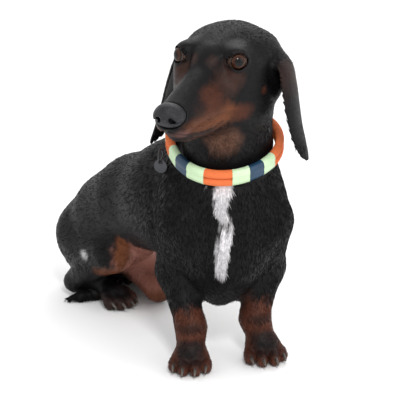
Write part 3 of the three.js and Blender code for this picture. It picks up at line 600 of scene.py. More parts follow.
patches = []
for s in SIDES.values():
    patches += [
        patch(head, 8, 27 * s, -16, 17, 13, 15, BROWN, 0.5, 0.8),
        patch(head, 14, 12 * s, 3, 9, 7, 7, BROWN, 0.5, 0.7),
        patch(head, 33, 22 * s, -27, 16, 10, 12, REDDISH, 0.5, 0.8),
        patch(head, 42, 22 * s, -50, 34, 14, 12, TAN, 0.5, 0.85),
        patch(head, 17, 27 * s, -50, 20, 14, 12, TAN, 0.5, 0.95),
        patch(head, 36, 20 * s, -38, 24, 12, 9, REDDISH, 0.7, 0.8),
        patch(head, 60, 18 * s, -35, 16, 9, 8, BLACK, 0.5, 0.7),
        patch(head, -6, 32 * s, -50, 12, 12, 9, REDDISH, 0.5, 0.85),
        patch(head, -32, 44 * s, -34, 4, 9, 4, REDDISH, 0.6, 0.8),
        patch(head, 40, 12 * s, -69, 44, 12, 6, BROWN, 0.5, 0.9),
        patch(head, 73, 10 * s, -56, 9, 9, 5, PINK, 0.6, 0.5),
        patch(head, -60, 60 * s, -50, 24, 7, 52, EAR_BROWN, 0.5, 0.75),
    ]
patches += [
    spot(-6, -4, 250, 17, 26, 15, THROAT, 0.45, 0.95),
    spot(-14, -4, 262, 16, 22, 9, BROWN, 0.5, 0.8),
    spot(-96, 168, 58, 30, 62, 44, BELLY, 0.22, 1.0),
    spot(-86, 196, 22, 22, 34, 22, BELLY, 0.3, 0.95),
    spot(-76, 182, 14, 15, 18, 9, TAN, 0.5, 0.8),
    spot(-112, 136, 76, 9, 16, 30, TAN, 0.35, 0.95),
    spot(-128, 150, 48, 20, 22, 10, TAN, 0.4, 0.9),
    spot(-158, 160, 66, 5, 12, 6, WHITE, 0.5, 0.55),
    spot(-158, 205, 18, 44, 40, 19, BLACK, 0.2, 1.0),
]
for side in SIDES:
    part = paw_frames[side]
    patches += [
        patch(part, -4, 0, 29, 30, 26, 34, MAHOGANY, 0.25, 1.0),
        patch(part, 8, 0, 12, 30, 27, 20, MAHOGANY, 0.2, 1.0),
        patch(part, 4, 15 if side == "right" else -15, 40, 22, 11, 30, REDDISH, 0.5, 0.7),
        patch(part, 12, 0, 46, 13, 20, 6, BLACK, 0.7, 0.7),
        patch(part, 14, 0, 27, 14, 18, 9, BLACK, 0.5, 0.9),
        patch(part, 24, 0, 18, 16, 30, 8, BLACK, 0.6, 0.85),
        patch(hind_frames[side], 10, 0, 8, 24, 24, 11, BROWN, 0.4, 0.75),
        patch(hind_frames[side], 10, 0, 20, 26, 20, 9, BLACK, 0.5, 0.95),
    ]
print("patches", len(patches))

# %% [markdown]
# ## Places that need their own line
# Some edges aren't eggs. The white strip follows a table of widths up the breast, the black of the flank
# ends on a line along the belly, and the lips and lid rims are dark by their nearness to a line in the
# flesh.

# %% White strip, flank, lips and lid rims
def blaze(p):
    """The share of white at each point of the chest: a strip that narrows downwards, ragged at both edges."""
    across, away, up = (p @ TURN.T).T
    width = np.interp(up, [112, 124, 140, 158, 172, 185, 200, 216], [0, 2.6, 4.0, 5.4, 3.6, 5.2, 8.5, 10.5])
    middle = np.interp(up, [112, 140, 158, 185, 205], [-8, -6.5, -4, -8, -6])
    rough = ragged(p * np.array([1, 1, 0.35]))
    edge = (np.abs(across - middle) - width) / 3.6 + rough * 1.5
    front = np.clip((30 - away) / 10, 0, 1)
    bottom = np.clip((up - 106) / 12, 0, 1)
    top = np.clip(-over_collar(p) / 3, 0, 1)
    return np.clip(0.5 - edge, 0, 1) * front * bottom * top


def flank_share(p):
    """One on the ribs above the belly's edge, a line that rises from the elbow to the front of the thigh."""
    across, away, up = (p @ TURN.T).T
    edge = np.interp(across, [-132, -118, -104, -88, -70, -50], [104, 101, 92, 84, 62, 20])
    ribs = np.clip((up - edge + ragged(p) * 4) / 5, 0, 1)
    return ribs * np.clip((-48 - across) / 8, 0, 1) * np.clip((away - 40) / 20, 0, 1)


def mouth_gap(p):
    """Millimetres from each point to the line of the mouth."""
    q = head.local(p)
    q[:, 1] = np.abs(q[:, 1])
    best = np.full(len(p), 99.0)
    for a, b in zip(np.array(mouth_line, float), np.array(mouth_line[1:], float)):
        t = np.clip((q - a) @ (b - a) / ((b - a) @ (b - a)), 0, 1)
        best = np.minimum(best, np.linalg.norm(q - a - t[:, None] * (b - a), axis=1))
    return best


def rim_gap(p):
    """Millimetres from each point to the edge of the nearer eye's opening, seen along its gaze."""
    best = np.full(len(p), 99.0)
    for side in SIDES:
        q = p - eye_centres[side]
        gaze = gazes[side]
        ahead = q @ gaze
        off = np.linalg.norm(q - ahead[:, None] * gaze, axis=1)
        best = np.where((ahead > 2) & (ahead < 20), np.minimum(best, np.abs(off - 8.4)), best)
    return best


def marking(p):
    """The coat's colour at points in millimetres."""
    rough = ragged(p)
    colour = np.tile(BLACK, (len(p), 1))
    for centre, axes, radii, tone, soft, share in patches:
        k = np.sqrt(((((p - centre) @ axes.T) / radii) ** 2).sum(-1)) + rough * 0.16
        mask = np.clip((1 + soft - k) / (2 * soft), 0, 1)
        mask = (mask * mask * (3 - 2 * mask) * share)[:, None]
        colour = colour * (1 - mask) + tone * mask
    flank = flank_share(p)[:, None]
    colour = colour * (1 - flank) + BLACK * flank
    lips = np.clip(1.5 - mouth_gap(p) / 1.7, 0, 1)[:, None] * 0.94
    colour = colour * (1 - lips) + LIP * lips
    rims = np.clip(3.2 - rim_gap(p) / 0.9, 0, 1)[:, None]
    colour = colour * (1 - rims) + LIP * rims
    white = blaze(p)[:, None]
    return colour * (1 - white) + WHITE * white

# %% [markdown]
# ## Shader sums
# A material is a tree of nodes, and a sum of three numbers takes two Math nodes and their links. One
# class wraps a socket, so that a sum of sockets is written as a sum and adds those nodes itself. Every
# other node comes from one method, and colours go through Mix nodes, since a Math node would turn them
# grey.

# %% Nodes and sums
class Tree:
    """A material's nodes. node() adds one of the given type with its settings and inputs."""

    def __init__(self, name):
        self.material = bpy.data.materials.new(name)
        self.material.use_nodes = True
        self.tree = self.material.node_tree
        self.shader = self.tree.nodes["Principled BSDF"]

    def node(self, kind, settings=None, inputs=None):
        """A node of the given type, with its settings made first and then its sockets' values or links."""
        made = self.tree.nodes.new(kind)
        for key, value in (settings or {}).items():
            setattr(made, key, value)
        for key, value in (inputs or {}).items():
            self.set(made.inputs[key], value)
        return made

    def set(self, socket, value):
        if isinstance(value, Sum):
            self.tree.links.new(value.socket, socket)
        else:
            socket.default_value = value

    def value(self, made, output=0):
        return Sum(self, made.outputs[output])

    def math(self, operation, *values):
        made = self.node("ShaderNodeMath", {"operation": operation})
        for socket, value in zip(made.inputs, values):
            self.set(socket, value)
        return Sum(self, made.outputs[0])

    def vector(self, operation, a, b):
        made = self.node("ShaderNodeVectorMath", {"operation": operation})
        self.set(made.inputs[0], a)
        self.set(made.inputs[1], b)
        return Sum(self, made.outputs[0])

    def place(self):
        """The point in the piece's own frame, in metres."""
        return self.value(self.node("ShaderNodeTexCoord"), 3)

    def noise(self, where, scale, detail=2.0, roughness=0.5):
        inputs = {"Vector": where, "Scale": scale, "Detail": detail, "Roughness": roughness}
        return self.value(self.node("ShaderNodeTexNoise", {}, inputs))

    def mix(self, share, a, b):
        """Colour a, going over to colour b by share."""
        made = self.node("ShaderNodeMix", {"data_type": "RGBA"})
        self.set(made.inputs[0], share)
        self.set(made.inputs[6], a)
        self.set(made.inputs[7], b)
        return Sum(self, made.outputs[2])

    def tint(self, colour, share):
        """A colour made darker or lighter by a factor."""
        made = self.node("ShaderNodeMix", {"data_type": "RGBA", "blend_type": "MULTIPLY"}, {0: 1.0})
        self.set(made.inputs[6], colour)
        grey = self.node("ShaderNodeCombineColor")
        for i in range(3):
            self.set(grey.inputs[i], share)
        self.set(made.inputs[7], self.value(grey))
        return Sum(self, made.outputs[2])

    def bump(self, height, distance, strength=1.0):
        inputs = {"Height": height, "Distance": distance, "Strength": strength}
        made = self.node("ShaderNodeBump", {}, inputs)
        self.tree.links.new(made.outputs[0], self.shader.inputs["Normal"])

    def attribute(self, name, output=0):
        return self.value(self.node("ShaderNodeAttribute", {"attribute_name": name}), output)

    def finish(self, **inputs):
        """Sets the shader's own sockets, and gives the material."""
        for key, value in inputs.items():
            self.set(self.shader.inputs[key.replace("_", " ")], value)
        return self.material


class Sum:
    """A socket that adds, subtracts, multiplies and divides with numbers and other sockets."""

    def __init__(self, tree, socket):
        self.tree, self.socket = tree, socket

    def __add__(self, other):
        return self.tree.math("ADD", self, other)

    __radd__ = __add__

    def __sub__(self, other):
        return self.tree.math("SUBTRACT", self, other)

    def __rsub__(self, other):
        return self.tree.math("SUBTRACT", other, self)

    def __mul__(self, other):
        return self.tree.math("MULTIPLY", self, other)

    __rmul__ = __mul__

    def __truediv__(self, other):
        return self.tree.math("DIVIDE", self, other)

    def clamp(self, low=0.0, high=1.0):
        return self.tree.math("MINIMUM", self.tree.math("MAXIMUM", self, low), high)

# %% [markdown]
# ## The coat's finish
# Short hair that lies flat looks like a dark sheen drawn out into fine streaks, not like fur. Particle
# hair could be grown, but it can't be exported, and at this length the eye sees only the streaks. So the
# skin's material stretches a noise along the lie of the hair, darkens and lightens the marking by it, and
# raises it as bump.

# %% Coat material
HAIR_SHEEN = 0.12


def coat_material():
    """Short glossy hair: the marking, streaked along the lie of the hair, with the streaks raised."""
    t = Tree("coat")
    lay = t.attribute("lay", 1)
    streak = t.noise(lay, 1500.0, 3.0, 0.6)
    blotch = t.noise(lay, 160.0, 2.0)
    colour = t.tint(t.attribute("marking"), (streak - 0.5) * 1.3 + (blotch - 0.5) * 0.5 + 1.0)
    t.bump(streak + blotch * 1.5, 0.0006, 0.5)
    t.shader.inputs["Specular IOR Level"].default_value = HAIR_SHEEN
    return t.finish(Base_Color=colour, Roughness=(streak - 0.5) * 0.2 + 0.42)


coat = coat_material()

# %% [markdown]
# ## The skin
# One skin runs from the nose to the tail's tip, and takes the place of every flesh solid. It lies a
# coat's depth inside them, so that the tufts end where the solids do. Lids and lips need a finer lattice
# than a flank, so the cells are fine above the collar and coarser below it, and the two parts overlap by
# a few millimetres under it.

# %% The skin
COAT_DEPTH = 0.5
collar_lean = math.radians(18)
collar_centre = joint(-1, 42, 230)
collar_normal = np.array([0, -math.sin(collar_lean), math.cos(collar_lean)]) @ TURN


def skin_part(low, high, cell, keep):
    """Points and faces of the flesh's level in a box, with only the faces whose points pass keep."""
    f = lattice_field(flesh, np.array(low, float), high, cell)
    points, faces = level_mesh(f + COAT_DEPTH, np.array(low, float), cell)
    points = settled(flesh, points, cell, COAT_DEPTH)
    faces = faces[keep(points)[faces].all(1)]
    used = np.unique(faces)
    number = np.full(len(points), -1)
    number[used] = np.arange(len(used))
    return points[used], number[faces]


def over_collar(points):
    """Millimetres above the collar's middle plane."""
    return (points - collar_centre) @ collar_normal


low = np.min([shape.low for shape in flesh], axis=0) - 12
high = np.max([shape.high for shape in flesh], axis=0) + 12
BODY_CELL = 1.9
HEAD_CELL = 1.3
BODY_TOP, HEAD_BOTTOM = 300, 190
OVERLAP = 2
FLOOR_GAP = 0.2
body_part = skin_part(low, [high[0], high[1], BODY_TOP], BODY_CELL, lambda p: over_collar(p) < OVERLAP)
head_part = skin_part([low[0], low[1], HEAD_BOTTOM], high, HEAD_CELL, lambda p: over_collar(p) > -OVERLAP)
points = np.concatenate([body_part[0], head_part[0]])
faces = np.concatenate([body_part[1], head_part[1] + len(body_part[0])])
points[:, 2] = np.maximum(points[:, 2], FLOOR_GAP)
print("skin", len(points), len(faces))
skin = mesh_object("skin", metres(points), faces)
FLESH = ("torso", "neck", "head", "tail", "foreleg", "forepaw", "hindleg", "hindfoot", "ear")
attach(skin, "root")
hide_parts(*[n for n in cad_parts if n.startswith(FLESH)])

# %% [markdown]
# ## The lie of the hair
# Hair lies back along the head and trunk, and down the neck, ears, chest and legs. The streaks and the
# tufts both follow it. It is written on the skin as the point itself, with its part along the hair
# squeezed to a sixth or so, so that any noise read there is drawn out into streaks.

# %% Lie of the hair, and the paint
STREAK = 0.85
BODY_MIDDLE = joint(-60, 120, 110)


def hair_lay(p):
    """The way the hair lies at each point: a blend of back along the body, back along the head, and down."""
    back = trunk[5][0] - trunk[1][0]
    back = back / np.linalg.norm(back)
    q = p @ TURN.T
    on_head = np.clip((over_collar(p) - 28) / 25, 0, 1)[:, None]
    rear = np.clip((q[:, 1] - 40) / 70, 0, 1)[:, None] * (1 - on_head)
    low_leg = np.clip((75 - p[:, 2]) / 40, 0, 1)[:, None] * (1 - on_head)
    ear = np.clip((np.abs(head.local(p)[:, 1]) - 52) / 6, 0, 1)[:, None] * on_head
    down = np.array([0, 0, -1.0])
    way = (1 - on_head) * down + on_head * -head.forward
    way = way * (1 - rear) + rear * (back + 0.25 * down)
    way = way * (1 - low_leg) + low_leg * down
    way = way * (1 - ear) + ear * down
    return way / np.linalg.norm(way, axis=1, keepdims=True)


def paint_lay(ob, p):
    """Writes each point less most of its part along the lie of the hair."""
    way = hair_lay(p)
    centre = np.where((over_collar(p) > 28)[:, None], head.origin, BODY_MIDDLE)
    flat = p - STREAK * ((p - centre) * way).sum(-1)[:, None] * way
    layer = ob.data.attributes.new("lay", "FLOAT_VECTOR", "POINT")
    layer.data.foreach_set("vector", (flat * MM).astype(np.float32).ravel())


paint(skin, marking(points))
paint_lay(skin, points)
skin.data.materials.append(coat)

# %% [markdown]
# ## Grids
# Every other piece is a surface of two parameters: one runs along it and one runs round it. Its faces
# depend only on how many rows and columns it has, so one helper gives them, and another repeats them for
# a whole set of pieces.

# %% Grid helpers
def grid_faces(rows, columns, closed=True):
    """Four-cornered faces between a grid's neighbours, the last column joined to the first where closed."""
    r = np.arange(rows - 1)[:, None]
    c = np.arange(columns if closed else columns - 1)[None, :]
    a = r * columns + c
    b = r * columns + (c + 1) % columns
    return np.stack([a, a + columns, b + columns, b], -1).reshape(-1, 4)


def many(faces, each, count):
    """One surface's faces repeated for count surfaces, each with that many points."""
    return (faces[None] + (np.arange(count) * each)[:, None, None]).reshape(-1, faces.shape[1])


def vector_layer(ob, name, values):
    """Writes one vector a vertex."""
    layer = ob.data.attributes.new(name, "FLOAT_VECTOR", "POINT")
    layer.data.foreach_set("vector", np.asarray(values, np.float32).ravel())

# %% [markdown]
# ## Tufts
# The coat is short and lies flat, so most of it is the skin's bump. Thin tufts stand over it everywhere,
# and longer ones where the coat breaks the outline. Hair curves could be grown instead, but the export
# keeps only solid mesh. First each face's outward way and size are measured, because tufts are sown by
# area and lean on the skin.

# %% Outward ways and face sizes
def corner_slopes():
    """Each point's outward way, the mean of its faces' cross products, and each face's size, half its own."""
    a, b, c, d = (points[faces[:, i]] for i in range(4))
    cross = np.cross(c - a, d - b)
    total = np.zeros_like(points)
    for i in range(4):
        for axis in range(3):
            total[:, axis] += np.bincount(faces[:, i], cross[:, axis], len(points))
    return total / (np.linalg.norm(total, axis=1, keepdims=True) + 1e-9), np.linalg.norm(cross, axis=1) / 2


outward, face_size = corner_slopes()
if (((points - BODY_MIDDLE) * outward).sum(-1) > 0).mean() < 0.5:
    outward = -outward
middles = points[faces].mean(1)
print("skin in square metres", float(face_size.sum()) * MM**2)

# %% [markdown]
# ## How long the hair is
# The hair of this breed is about 2 mm on the face and ears, 3 on the feet and 5 on the body, and it
# stands longer in a few places: under the throat, down the nape, on the breast, behind the thighs and
# elbows and along the tail. Each of those is a line, and the hair is longer near it.

# %% Hair lengths
def near_line(p, line, reach):
    """How near each point is to a line of points: one on it, none past reach."""
    best = np.full(len(p), 1e9)
    for a, b in zip(line, line[1:]):
        t = np.clip((p - a) @ (b - a) / ((b - a) @ (b - a)), 0, 1)
        best = np.minimum(best, np.linalg.norm(p - a - t[:, None] * (b - a), axis=1))
    return np.clip(1.5 - best / reach, 0, 1)


BODY_HAIR, FACE_HAIR, EAR_HAIR, LEG_HAIR = 5.5, 2.2, 2.0, 3.4


def lengths_at(p):
    """Hair length: each part's own, mixed by place, and longer on the white strip and near the long lines."""
    local = head.local(p)
    on_head = np.clip((over_collar(p) - 10) / 20, 0, 1)
    face = np.clip((local[:, 0] + 50) / 40, 0, 1) * on_head
    ears = np.clip((np.abs(local[:, 1]) - 52) / 6, 0, 1) * on_head
    low_leg = np.clip((60 - p[:, 2]) / 30, 0, 1)
    length = BODY_HAIR * (1 - face) + FACE_HAIR * face
    length = length * (1 - ears) + EAR_HAIR * ears
    length = length * (1 - low_leg) + LEG_HAIR * low_leg
    return length * (1 + 0.9 * blaze(p)) * (1 + 0.8 * long_share(p))


def long_share(p):
    """Where hair stands longer: nape, breast's keel, back of the thighs, elbows and tail."""
    nape = near_line(p, np.array([joint(30, 60, 300), joint(40, 82, 262), joint(30, 98, 236)]), 20)
    keel = near_line(p, np.array([joint(-9, -2, 110), joint(-9, 30, 64), joint(-12, 70, 70)]), 16)
    seat = near_line(p, np.array([joint(-166, 262, 90), joint(-176, 252, 44)]), 22)
    tail = near_line(p, np.array([joint(*q) for q in tail_line[2:]]), 12)
    elbow_lines = [np.array([chest.at(-26, 52 * s, -40), chest.at(-22, 50 * s, -76)]) for s in (1, -1)]
    elbows = np.max([near_line(p, line, 14) for line in elbow_lines], axis=0)
    throat = near_line(p, np.array([joint(-12, -20, 262), joint(-8, -14, 244)]), 14)
    return np.clip(nape + keel + seat + tail + elbows + throat, 0, 1)

# %% [markdown]
# ## An unwrap for the tufts
# Each tuft gets a small patch of its own on a flat map. A view from the camera would lay far tufts over
# near ones. This unwrap follows the skin instead: the head and the trunk are rolled out round their own
# lengths, and each low leg round its own height.

# %% Places on the unwrap
def unwrapped(p):
    """A place on the unwrap: the angle round a part and the way along it, each part in its own window."""
    q = head.local(p)
    place = np.zeros((len(p), 2))
    on_head = over_collar(p) > 0
    place[:, 0] = 0.02 + 0.46 * (np.arctan2(q[:, 1], q[:, 2] + 30) / (2 * math.pi) + 0.5)
    place[:, 1] = 0.52 + 0.46 * np.clip((q[:, 0] + 135) / 245, 0, 1)
    start = trunk[0][0]
    run = trunk[-1][0] - start
    t = np.clip((p - start) @ run / (run @ run), 0, 1)
    off = p - (start + t[:, None] * run)
    side = joint(1, 0.6, 0)
    over = off[:, 2] + 0.4 * off @ np.cross(side, [0, 0, 1])
    along = off @ run / np.linalg.norm(run) + t * 320
    body_u = 0.02 + 0.96 * (np.arctan2(off @ side, over) / (2 * math.pi) + 0.5)
    body_v = 0.02 + 0.44 * np.clip((along + 70) / 480, 0, 1)
    place[~on_head] = np.stack([body_u, body_v], -1)[~on_head]
    for i, part in enumerate([*paw_frames.values(), *hind_frames.values()]):
        r = part.local(p)
        low = (~on_head) & (p[:, 2] < 60) & (np.hypot(r[:, 0], r[:, 1]) < 42)
        place[low, 0] = (0.52 + 0.12 * i + 0.1 * (np.arctan2(r[:, 1], r[:, 0]) / (2 * math.pi) + 0.5))[low]
        place[low, 1] = (0.52 + 0.46 * np.clip(p[:, 2] / 60, 0, 1))[low]
    return place

# %% [markdown]
# ## One piece of coat
# A tuft is a lock of hairs that lie together: broad at its root, bent along the skin and ending in a
# point. Nine triangles are enough for one, and a whole piece of coat is a single array of them, sown by
# chance over the skin with the chance of each place given. Each takes the skin's colour at its root, with
# painted shade darkening it there and painted light brightening its tip.

# %% Tuft builder
# Two corners and a crest at the root, the same at the bend, and the tip.
SPIKE_FACES = np.array([
    [0, 1, 4], [0, 4, 3], [1, 2, 5], [1, 5, 4], [2, 0, 3], [2, 3, 5], [3, 4, 6], [4, 5, 6], [5, 3, 6],
])
# Colour factors of a spike's seven corners: painted shade at the root and painted light at the tip.
SPIKE_PAINTED_SHADE_AND_LIGHT = np.array([0.8, 0.8, 0.8, 1, 1, 1, 1.15])
SPIKE_PATCH = np.array([[-1, -1], [1, -1], [0, -0.6], [-0.7, 0.2], [0.7, 0.2], [0, 0.4], [0, 1]]) * 0.0015
ROOT_DEPTH = 0.35


def tuft_piece(name, share, count, width, lift, stretch=1.0):
    """Spikes at random places, each face as likely as its size times share.

    A spike runs from under the skin along the lie of the hair, rises by lift and bends back down to its tip.
    """
    count = count
    chance = face_size * share
    at = rng.choice(len(faces), count, p=chance / chance.sum())
    mix = rng.dirichlet(np.ones(4), count)[..., None]
    root = (points[faces[at]] * mix).sum(1)
    up = (outward[faces[at]] * mix).sum(1)
    up /= np.linalg.norm(up, axis=1, keepdims=True) + 1e-9
    way = hair_lay(root) + rng.normal(0, 0.16, (count, 3))
    way -= (way * up).sum(-1, keepdims=True) * up
    way /= np.linalg.norm(way, axis=1, keepdims=True) + 1e-9
    side = np.cross(up, way)
    length = (lengths_at(root) * stretch * rng.uniform(0.7, 1.25, count))[:, None]
    rise = (lift * rng.uniform(0.5, 1.5, count))[:, None]
    w = (width * rng.uniform(0.7, 1.3, count))[:, None] * np.sqrt(length / 5)
    low = root - up * ROOT_DEPTH
    bend = root + way * length * 0.5 + up * rise * length * 0.42
    tip = root + way * length + up * rise * length * 0.55
    spike = np.stack([low - side * w, low + side * w, low + up * w * 0.9 + way * 0.2,
                      bend - side * w * 0.7, bend + side * w * 0.7, bend + up * w * 0.55, tip], 1)
    spike[..., 2] = np.maximum(spike[..., 2], 0.15)
    ob = mesh_object(name, metres(spike.reshape(-1, 3)), many(SPIKE_FACES, 7, count))
    # Each tuft's random tone, times the painted shade at its root and the painted light at its tip.
    tone_and_painted_shade = (1 + rng.normal(0, 0.16, count)).clip(0.5, 1.5)[:, None, None] * SPIKE_PAINTED_SHADE_AND_LIGHT[:, None]
    paint(ob, (marking(root)[:, None, :] * tone_and_painted_shade).reshape(-1, 3))
    flat = (unwrapped(root)[:, None, :] + SPIKE_PATCH).reshape(-1, 2)
    loops = np.zeros(len(ob.data.loops), np.int32)
    ob.data.loops.foreach_get("vertex_index", loops)
    ob.data.uv_layers.new(name="OFBake").data.foreach_set("uv", flat[loops].astype(np.float32).ravel())
    ob.data.materials.append(hair)
    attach(ob, "root")
    print(name, count, "tufts")


def hair_material():
    """A tuft's own colour, with fine streaks and a soft sheen."""
    t = Tree("hair tufts")
    where = t.place()
    streak = t.noise(where, 1800.0, 2.0)
    t.shader.inputs["Specular IOR Level"].default_value = HAIR_SHEEN
    t.bump(streak, 0.0002, 0.3)
    colour = t.tint(t.attribute("marking"), streak * 0.6 + 0.7)
    return t.finish(Base_Color=colour, Roughness=streak * 0.15 + 0.4)


hair = hair_material()

# %% [markdown]
# ## The coat, piece by piece
# The head's tufts are finest and keep clear of the eyes, the nose and the lips. The chest and the trunk
# are sown apart, so that no piece is too big to export whole. The white strip and the long hair get tufts
# of their own on top.

# %% Tufts over the skin
head_share = np.clip((over_collar(middles) - 4) / 4, 0, 1)
eye_gap = np.min([np.linalg.norm(middles - centre, axis=1) for centre in eye_centres.values()], axis=0)
clear_eyes = eye_gap > 13.5
clear_nose = np.linalg.norm(middles - head.at(80, 0, -38), axis=1) > 17
collar_band = np.clip((np.abs(over_collar(middles)) - 12) / 6, 0, 1)
face_ok = clear_eyes * clear_nose * collar_band * np.clip(mouth_gap(middles) - 2.2, 0, 1)
above_floor = middles[:, 2] > 3
open_body = (1 - head_share) * collar_band * above_floor
trunk_share = np.clip((middles @ TURN.T)[:, 1] / 40 - 1, 0, 1)
tuft_piece("coat_head", head_share * face_ok, 20000, 0.24, 0.10)
tuft_piece("coat_chest", open_body * (1 - trunk_share), 20000, 0.3, 0.10)
tuft_piece("coat_trunk", open_body * trunk_share, 21000, 0.32, 0.10)
tuft_piece("coat_white", blaze(middles) ** 0.5 * collar_band, 4200, 0.28, 0.14)
tuft_piece("coat_long", long_share(middles) * face_ok * collar_band * above_floor, 9000, 0.27, 0.2, 1.05)

# %% [markdown]
# ## Whiskers
# A few stiff hairs stand out from the upper lip. Curves with a bevel would do, but these are few, so each
# is a tube worked out along a bent line that thins to its tip.

# %% Whiskers
whisker_count = 26
s = np.array([-1, 1] * (whisker_count // 2))
f = rng.uniform(42, 68, whisker_count)
roots = np.stack([f, s * (21 - 0.16 * (f - 40)), rng.uniform(-52, -44, whisker_count)], -1)
back = rng.uniform(-0.9, -0.2, whisker_count)
out = s * rng.uniform(0.5, 0.9, whisker_count)
down = rng.uniform(-0.7, 0.1, whisker_count)
ways = np.stack([back, out, down], -1)
ways /= np.linalg.norm(ways, axis=1, keepdims=True)
t = np.linspace(0, 1, 9)[None, :, None]
reach = rng.uniform(9, 17, whisker_count)[:, None, None]
spine = roots[:, None] + ways[:, None] * reach * t + np.array([0, 0, -1.0]) * reach * 0.25 * t**2
a = np.linspace(0, 2 * math.pi, 6)[None, None, :-1, None]
round_way = np.cos(a) * np.array([0, 0, 1.0]) + np.sin(a) * np.cross(ways, [0, 0, 1.0])[:, None, None]
hairs = (spine[:, :, None] + round_way * (0.13 * (1 - 0.9 * t))[:, :, None]).reshape(-1, 3)
whisker_faces = many(grid_faces(9, 5)[:, ::-1], 45, whisker_count)
whiskers = mesh_object("whiskers", metres(head.origin + hairs @ head.axes), whisker_faces)
print("whiskers", whisker_count)
paint(whiskers, np.tile(LIP, (len(hairs), 1)))
whiskers.data.materials.append(hair)
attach(whiskers, "root")

# %% [markdown]
# ## Eyes
# A dog's eye is a ball with a clear dome in front, and little of its white shows. Its colours run in
# rings round the gaze: black pupil, brown iris with rays, dark rim, brownish white. An image could hold
# them, but rings are easily worked out from the angle to the gaze. The wet look is a clear coat, with the
# bending power of a tear.

# %% Colours of the eye
def eye_colours(angle, turn):
    """Colour by angle from the gaze: black pupil, brown iris with rays, dark rim, then a brownish white."""
    ray = sum(np.cos(k * turn + k * k) for k in (17, 29, 43, 61)) / 4
    inner = np.clip((angle - 0.3) / 0.4, 0, 1)[..., None]
    iris = np.array([0.012, 0.004, 0.002]) * (1 - inner) + np.array([0.05, 0.017, 0.008]) * inner
    iris = iris * (1 + 0.35 * ray[..., None])
    pupil = np.clip((0.38 - angle) / 0.04, 0, 1)[..., None]
    rim = np.clip((angle - 0.66) / 0.07, 0, 1)[..., None]
    white = np.clip((angle - 0.8) / 0.08, 0, 1)[..., None]
    colour = iris * (1 - pupil) + np.array([0.003, 0.0025, 0.003]) * pupil
    colour = colour * (1 - rim) + np.array([0.004, 0.003, 0.003]) * rim
    return colour * (1 - white) + np.array([0.06, 0.035, 0.026]) * white


def eye_material():
    """The painted rings, faintly veined, under a clear wet coat."""
    t = Tree("wet eye")
    where = t.place()
    vein = t.noise(where, 700.0, 3.0)
    t.bump(vein, 0.00004, 0.3)
    t.shader.inputs["Coat Roughness"].default_value = 0.02
    t.shader.inputs["Coat IOR"].default_value = 1.3
    t.shader.inputs["Specular IOR Level"].default_value = 0.0
    colour = t.tint(t.attribute("marking"), vein * 0.5 + 0.75)
    return t.finish(Base_Color=colour, Roughness=vein * 0.1 + 0.12, Coat_Weight=1.0)


eye_paint = eye_material()

# %% Eyeballs
for side in SIDES:
    gaze = gazes[side]
    across = np.cross([0, 0, 1], gaze)
    across /= np.linalg.norm(across)
    over = np.cross(gaze, across)
    angle = np.concatenate([np.linspace(0, 1, 90), np.linspace(1.03, math.pi, 40)])[:, None]
    turn = np.linspace(0, 2 * math.pi, 97)[None, :-1]
    radius = EYE_RADIUS - 0.2 + 0.9 * np.exp(-((angle / 0.66) ** 4))
    ring = np.cos(turn)[..., None] * across + np.sin(turn)[..., None] * over
    ways = np.cos(angle)[..., None] * gaze + np.sin(angle)[..., None] * ring
    ball = metres(eye_centres[side] + radius[..., None] * ways)
    eye = mesh_object(f"eye_{side}_wet", ball.reshape(-1, 3), grid_faces(len(angle), turn.size))
    paint(eye, eye_colours(angle + 0 * turn, turn + 0 * angle).reshape(-1, 3))
    eye.data.materials.append(eye_paint)
    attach(eye, "root")
    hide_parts(f"eye_{side}")
print("eyes", list(gazes))

# %% [markdown]
# ## Nose leather
# The nose is a bare pad of slate-black leather with a comma-shaped nostril on each side and a groove down
# its middle. It is a field, as the flesh is, because nostrils are easily carved from one. Its pebbled
# grain is Voronoi cells, each raised in its middle, with painted shade in the grooves between them and
# painted light on their tops.

# %% Nose pad
def with_hollow(shape, hollow):
    """The shape, marked as added or carved."""
    shape.hollow = hollow
    return shape


nose_shapes = [
    with_hollow(Egg(head, 79, 0, -38, 13, 15.5, 11.5, 1), False),
    with_hollow(Egg(head, 84, 0, -33, 9, 11, 7.5, 5), False),
]
for s in SIDES.values():
    nose_shapes += [
        with_hollow(Egg(head, 85, 6 * s, -38, 7, 8, 7, 4), False),
        with_hollow(Limb(head.at(99, 6 * s, -40), head.at(87, 7 * s, -39.5), 3.3, 2.7, 2), True),
        with_hollow(Limb(head.at(87, 7 * s, -39.5), head.at(80, 9.5 * s, -38), 2.7, 1.4, 2), True),
        with_hollow(Limb(head.at(92, 8 * s, -41), head.at(81, 15.5 * s, -43.5), 1.7, 0.9, 2), True),
    ]
nose_shapes.append(with_hollow(Limb(head.at(93.6, 0, -50), head.at(93.6, 0, -36), 1.1, 0.7, 1.6), True))
nose_low = np.min([k.low for k in nose_shapes[:3]], axis=0) - 3
nose_high = np.max([k.high for k in nose_shapes[:3]], axis=0) + 3
nose_cell = 0.55
nose_field = lattice_field(nose_shapes, nose_low, nose_high, nose_cell)
nose_points, nose_faces = level_mesh(nose_field, nose_low, nose_cell)
nose_points = settled(nose_shapes, nose_points, nose_cell)
nose = mesh_object("nose_leather", metres(nose_points), nose_faces)
print("nose", len(nose_points))


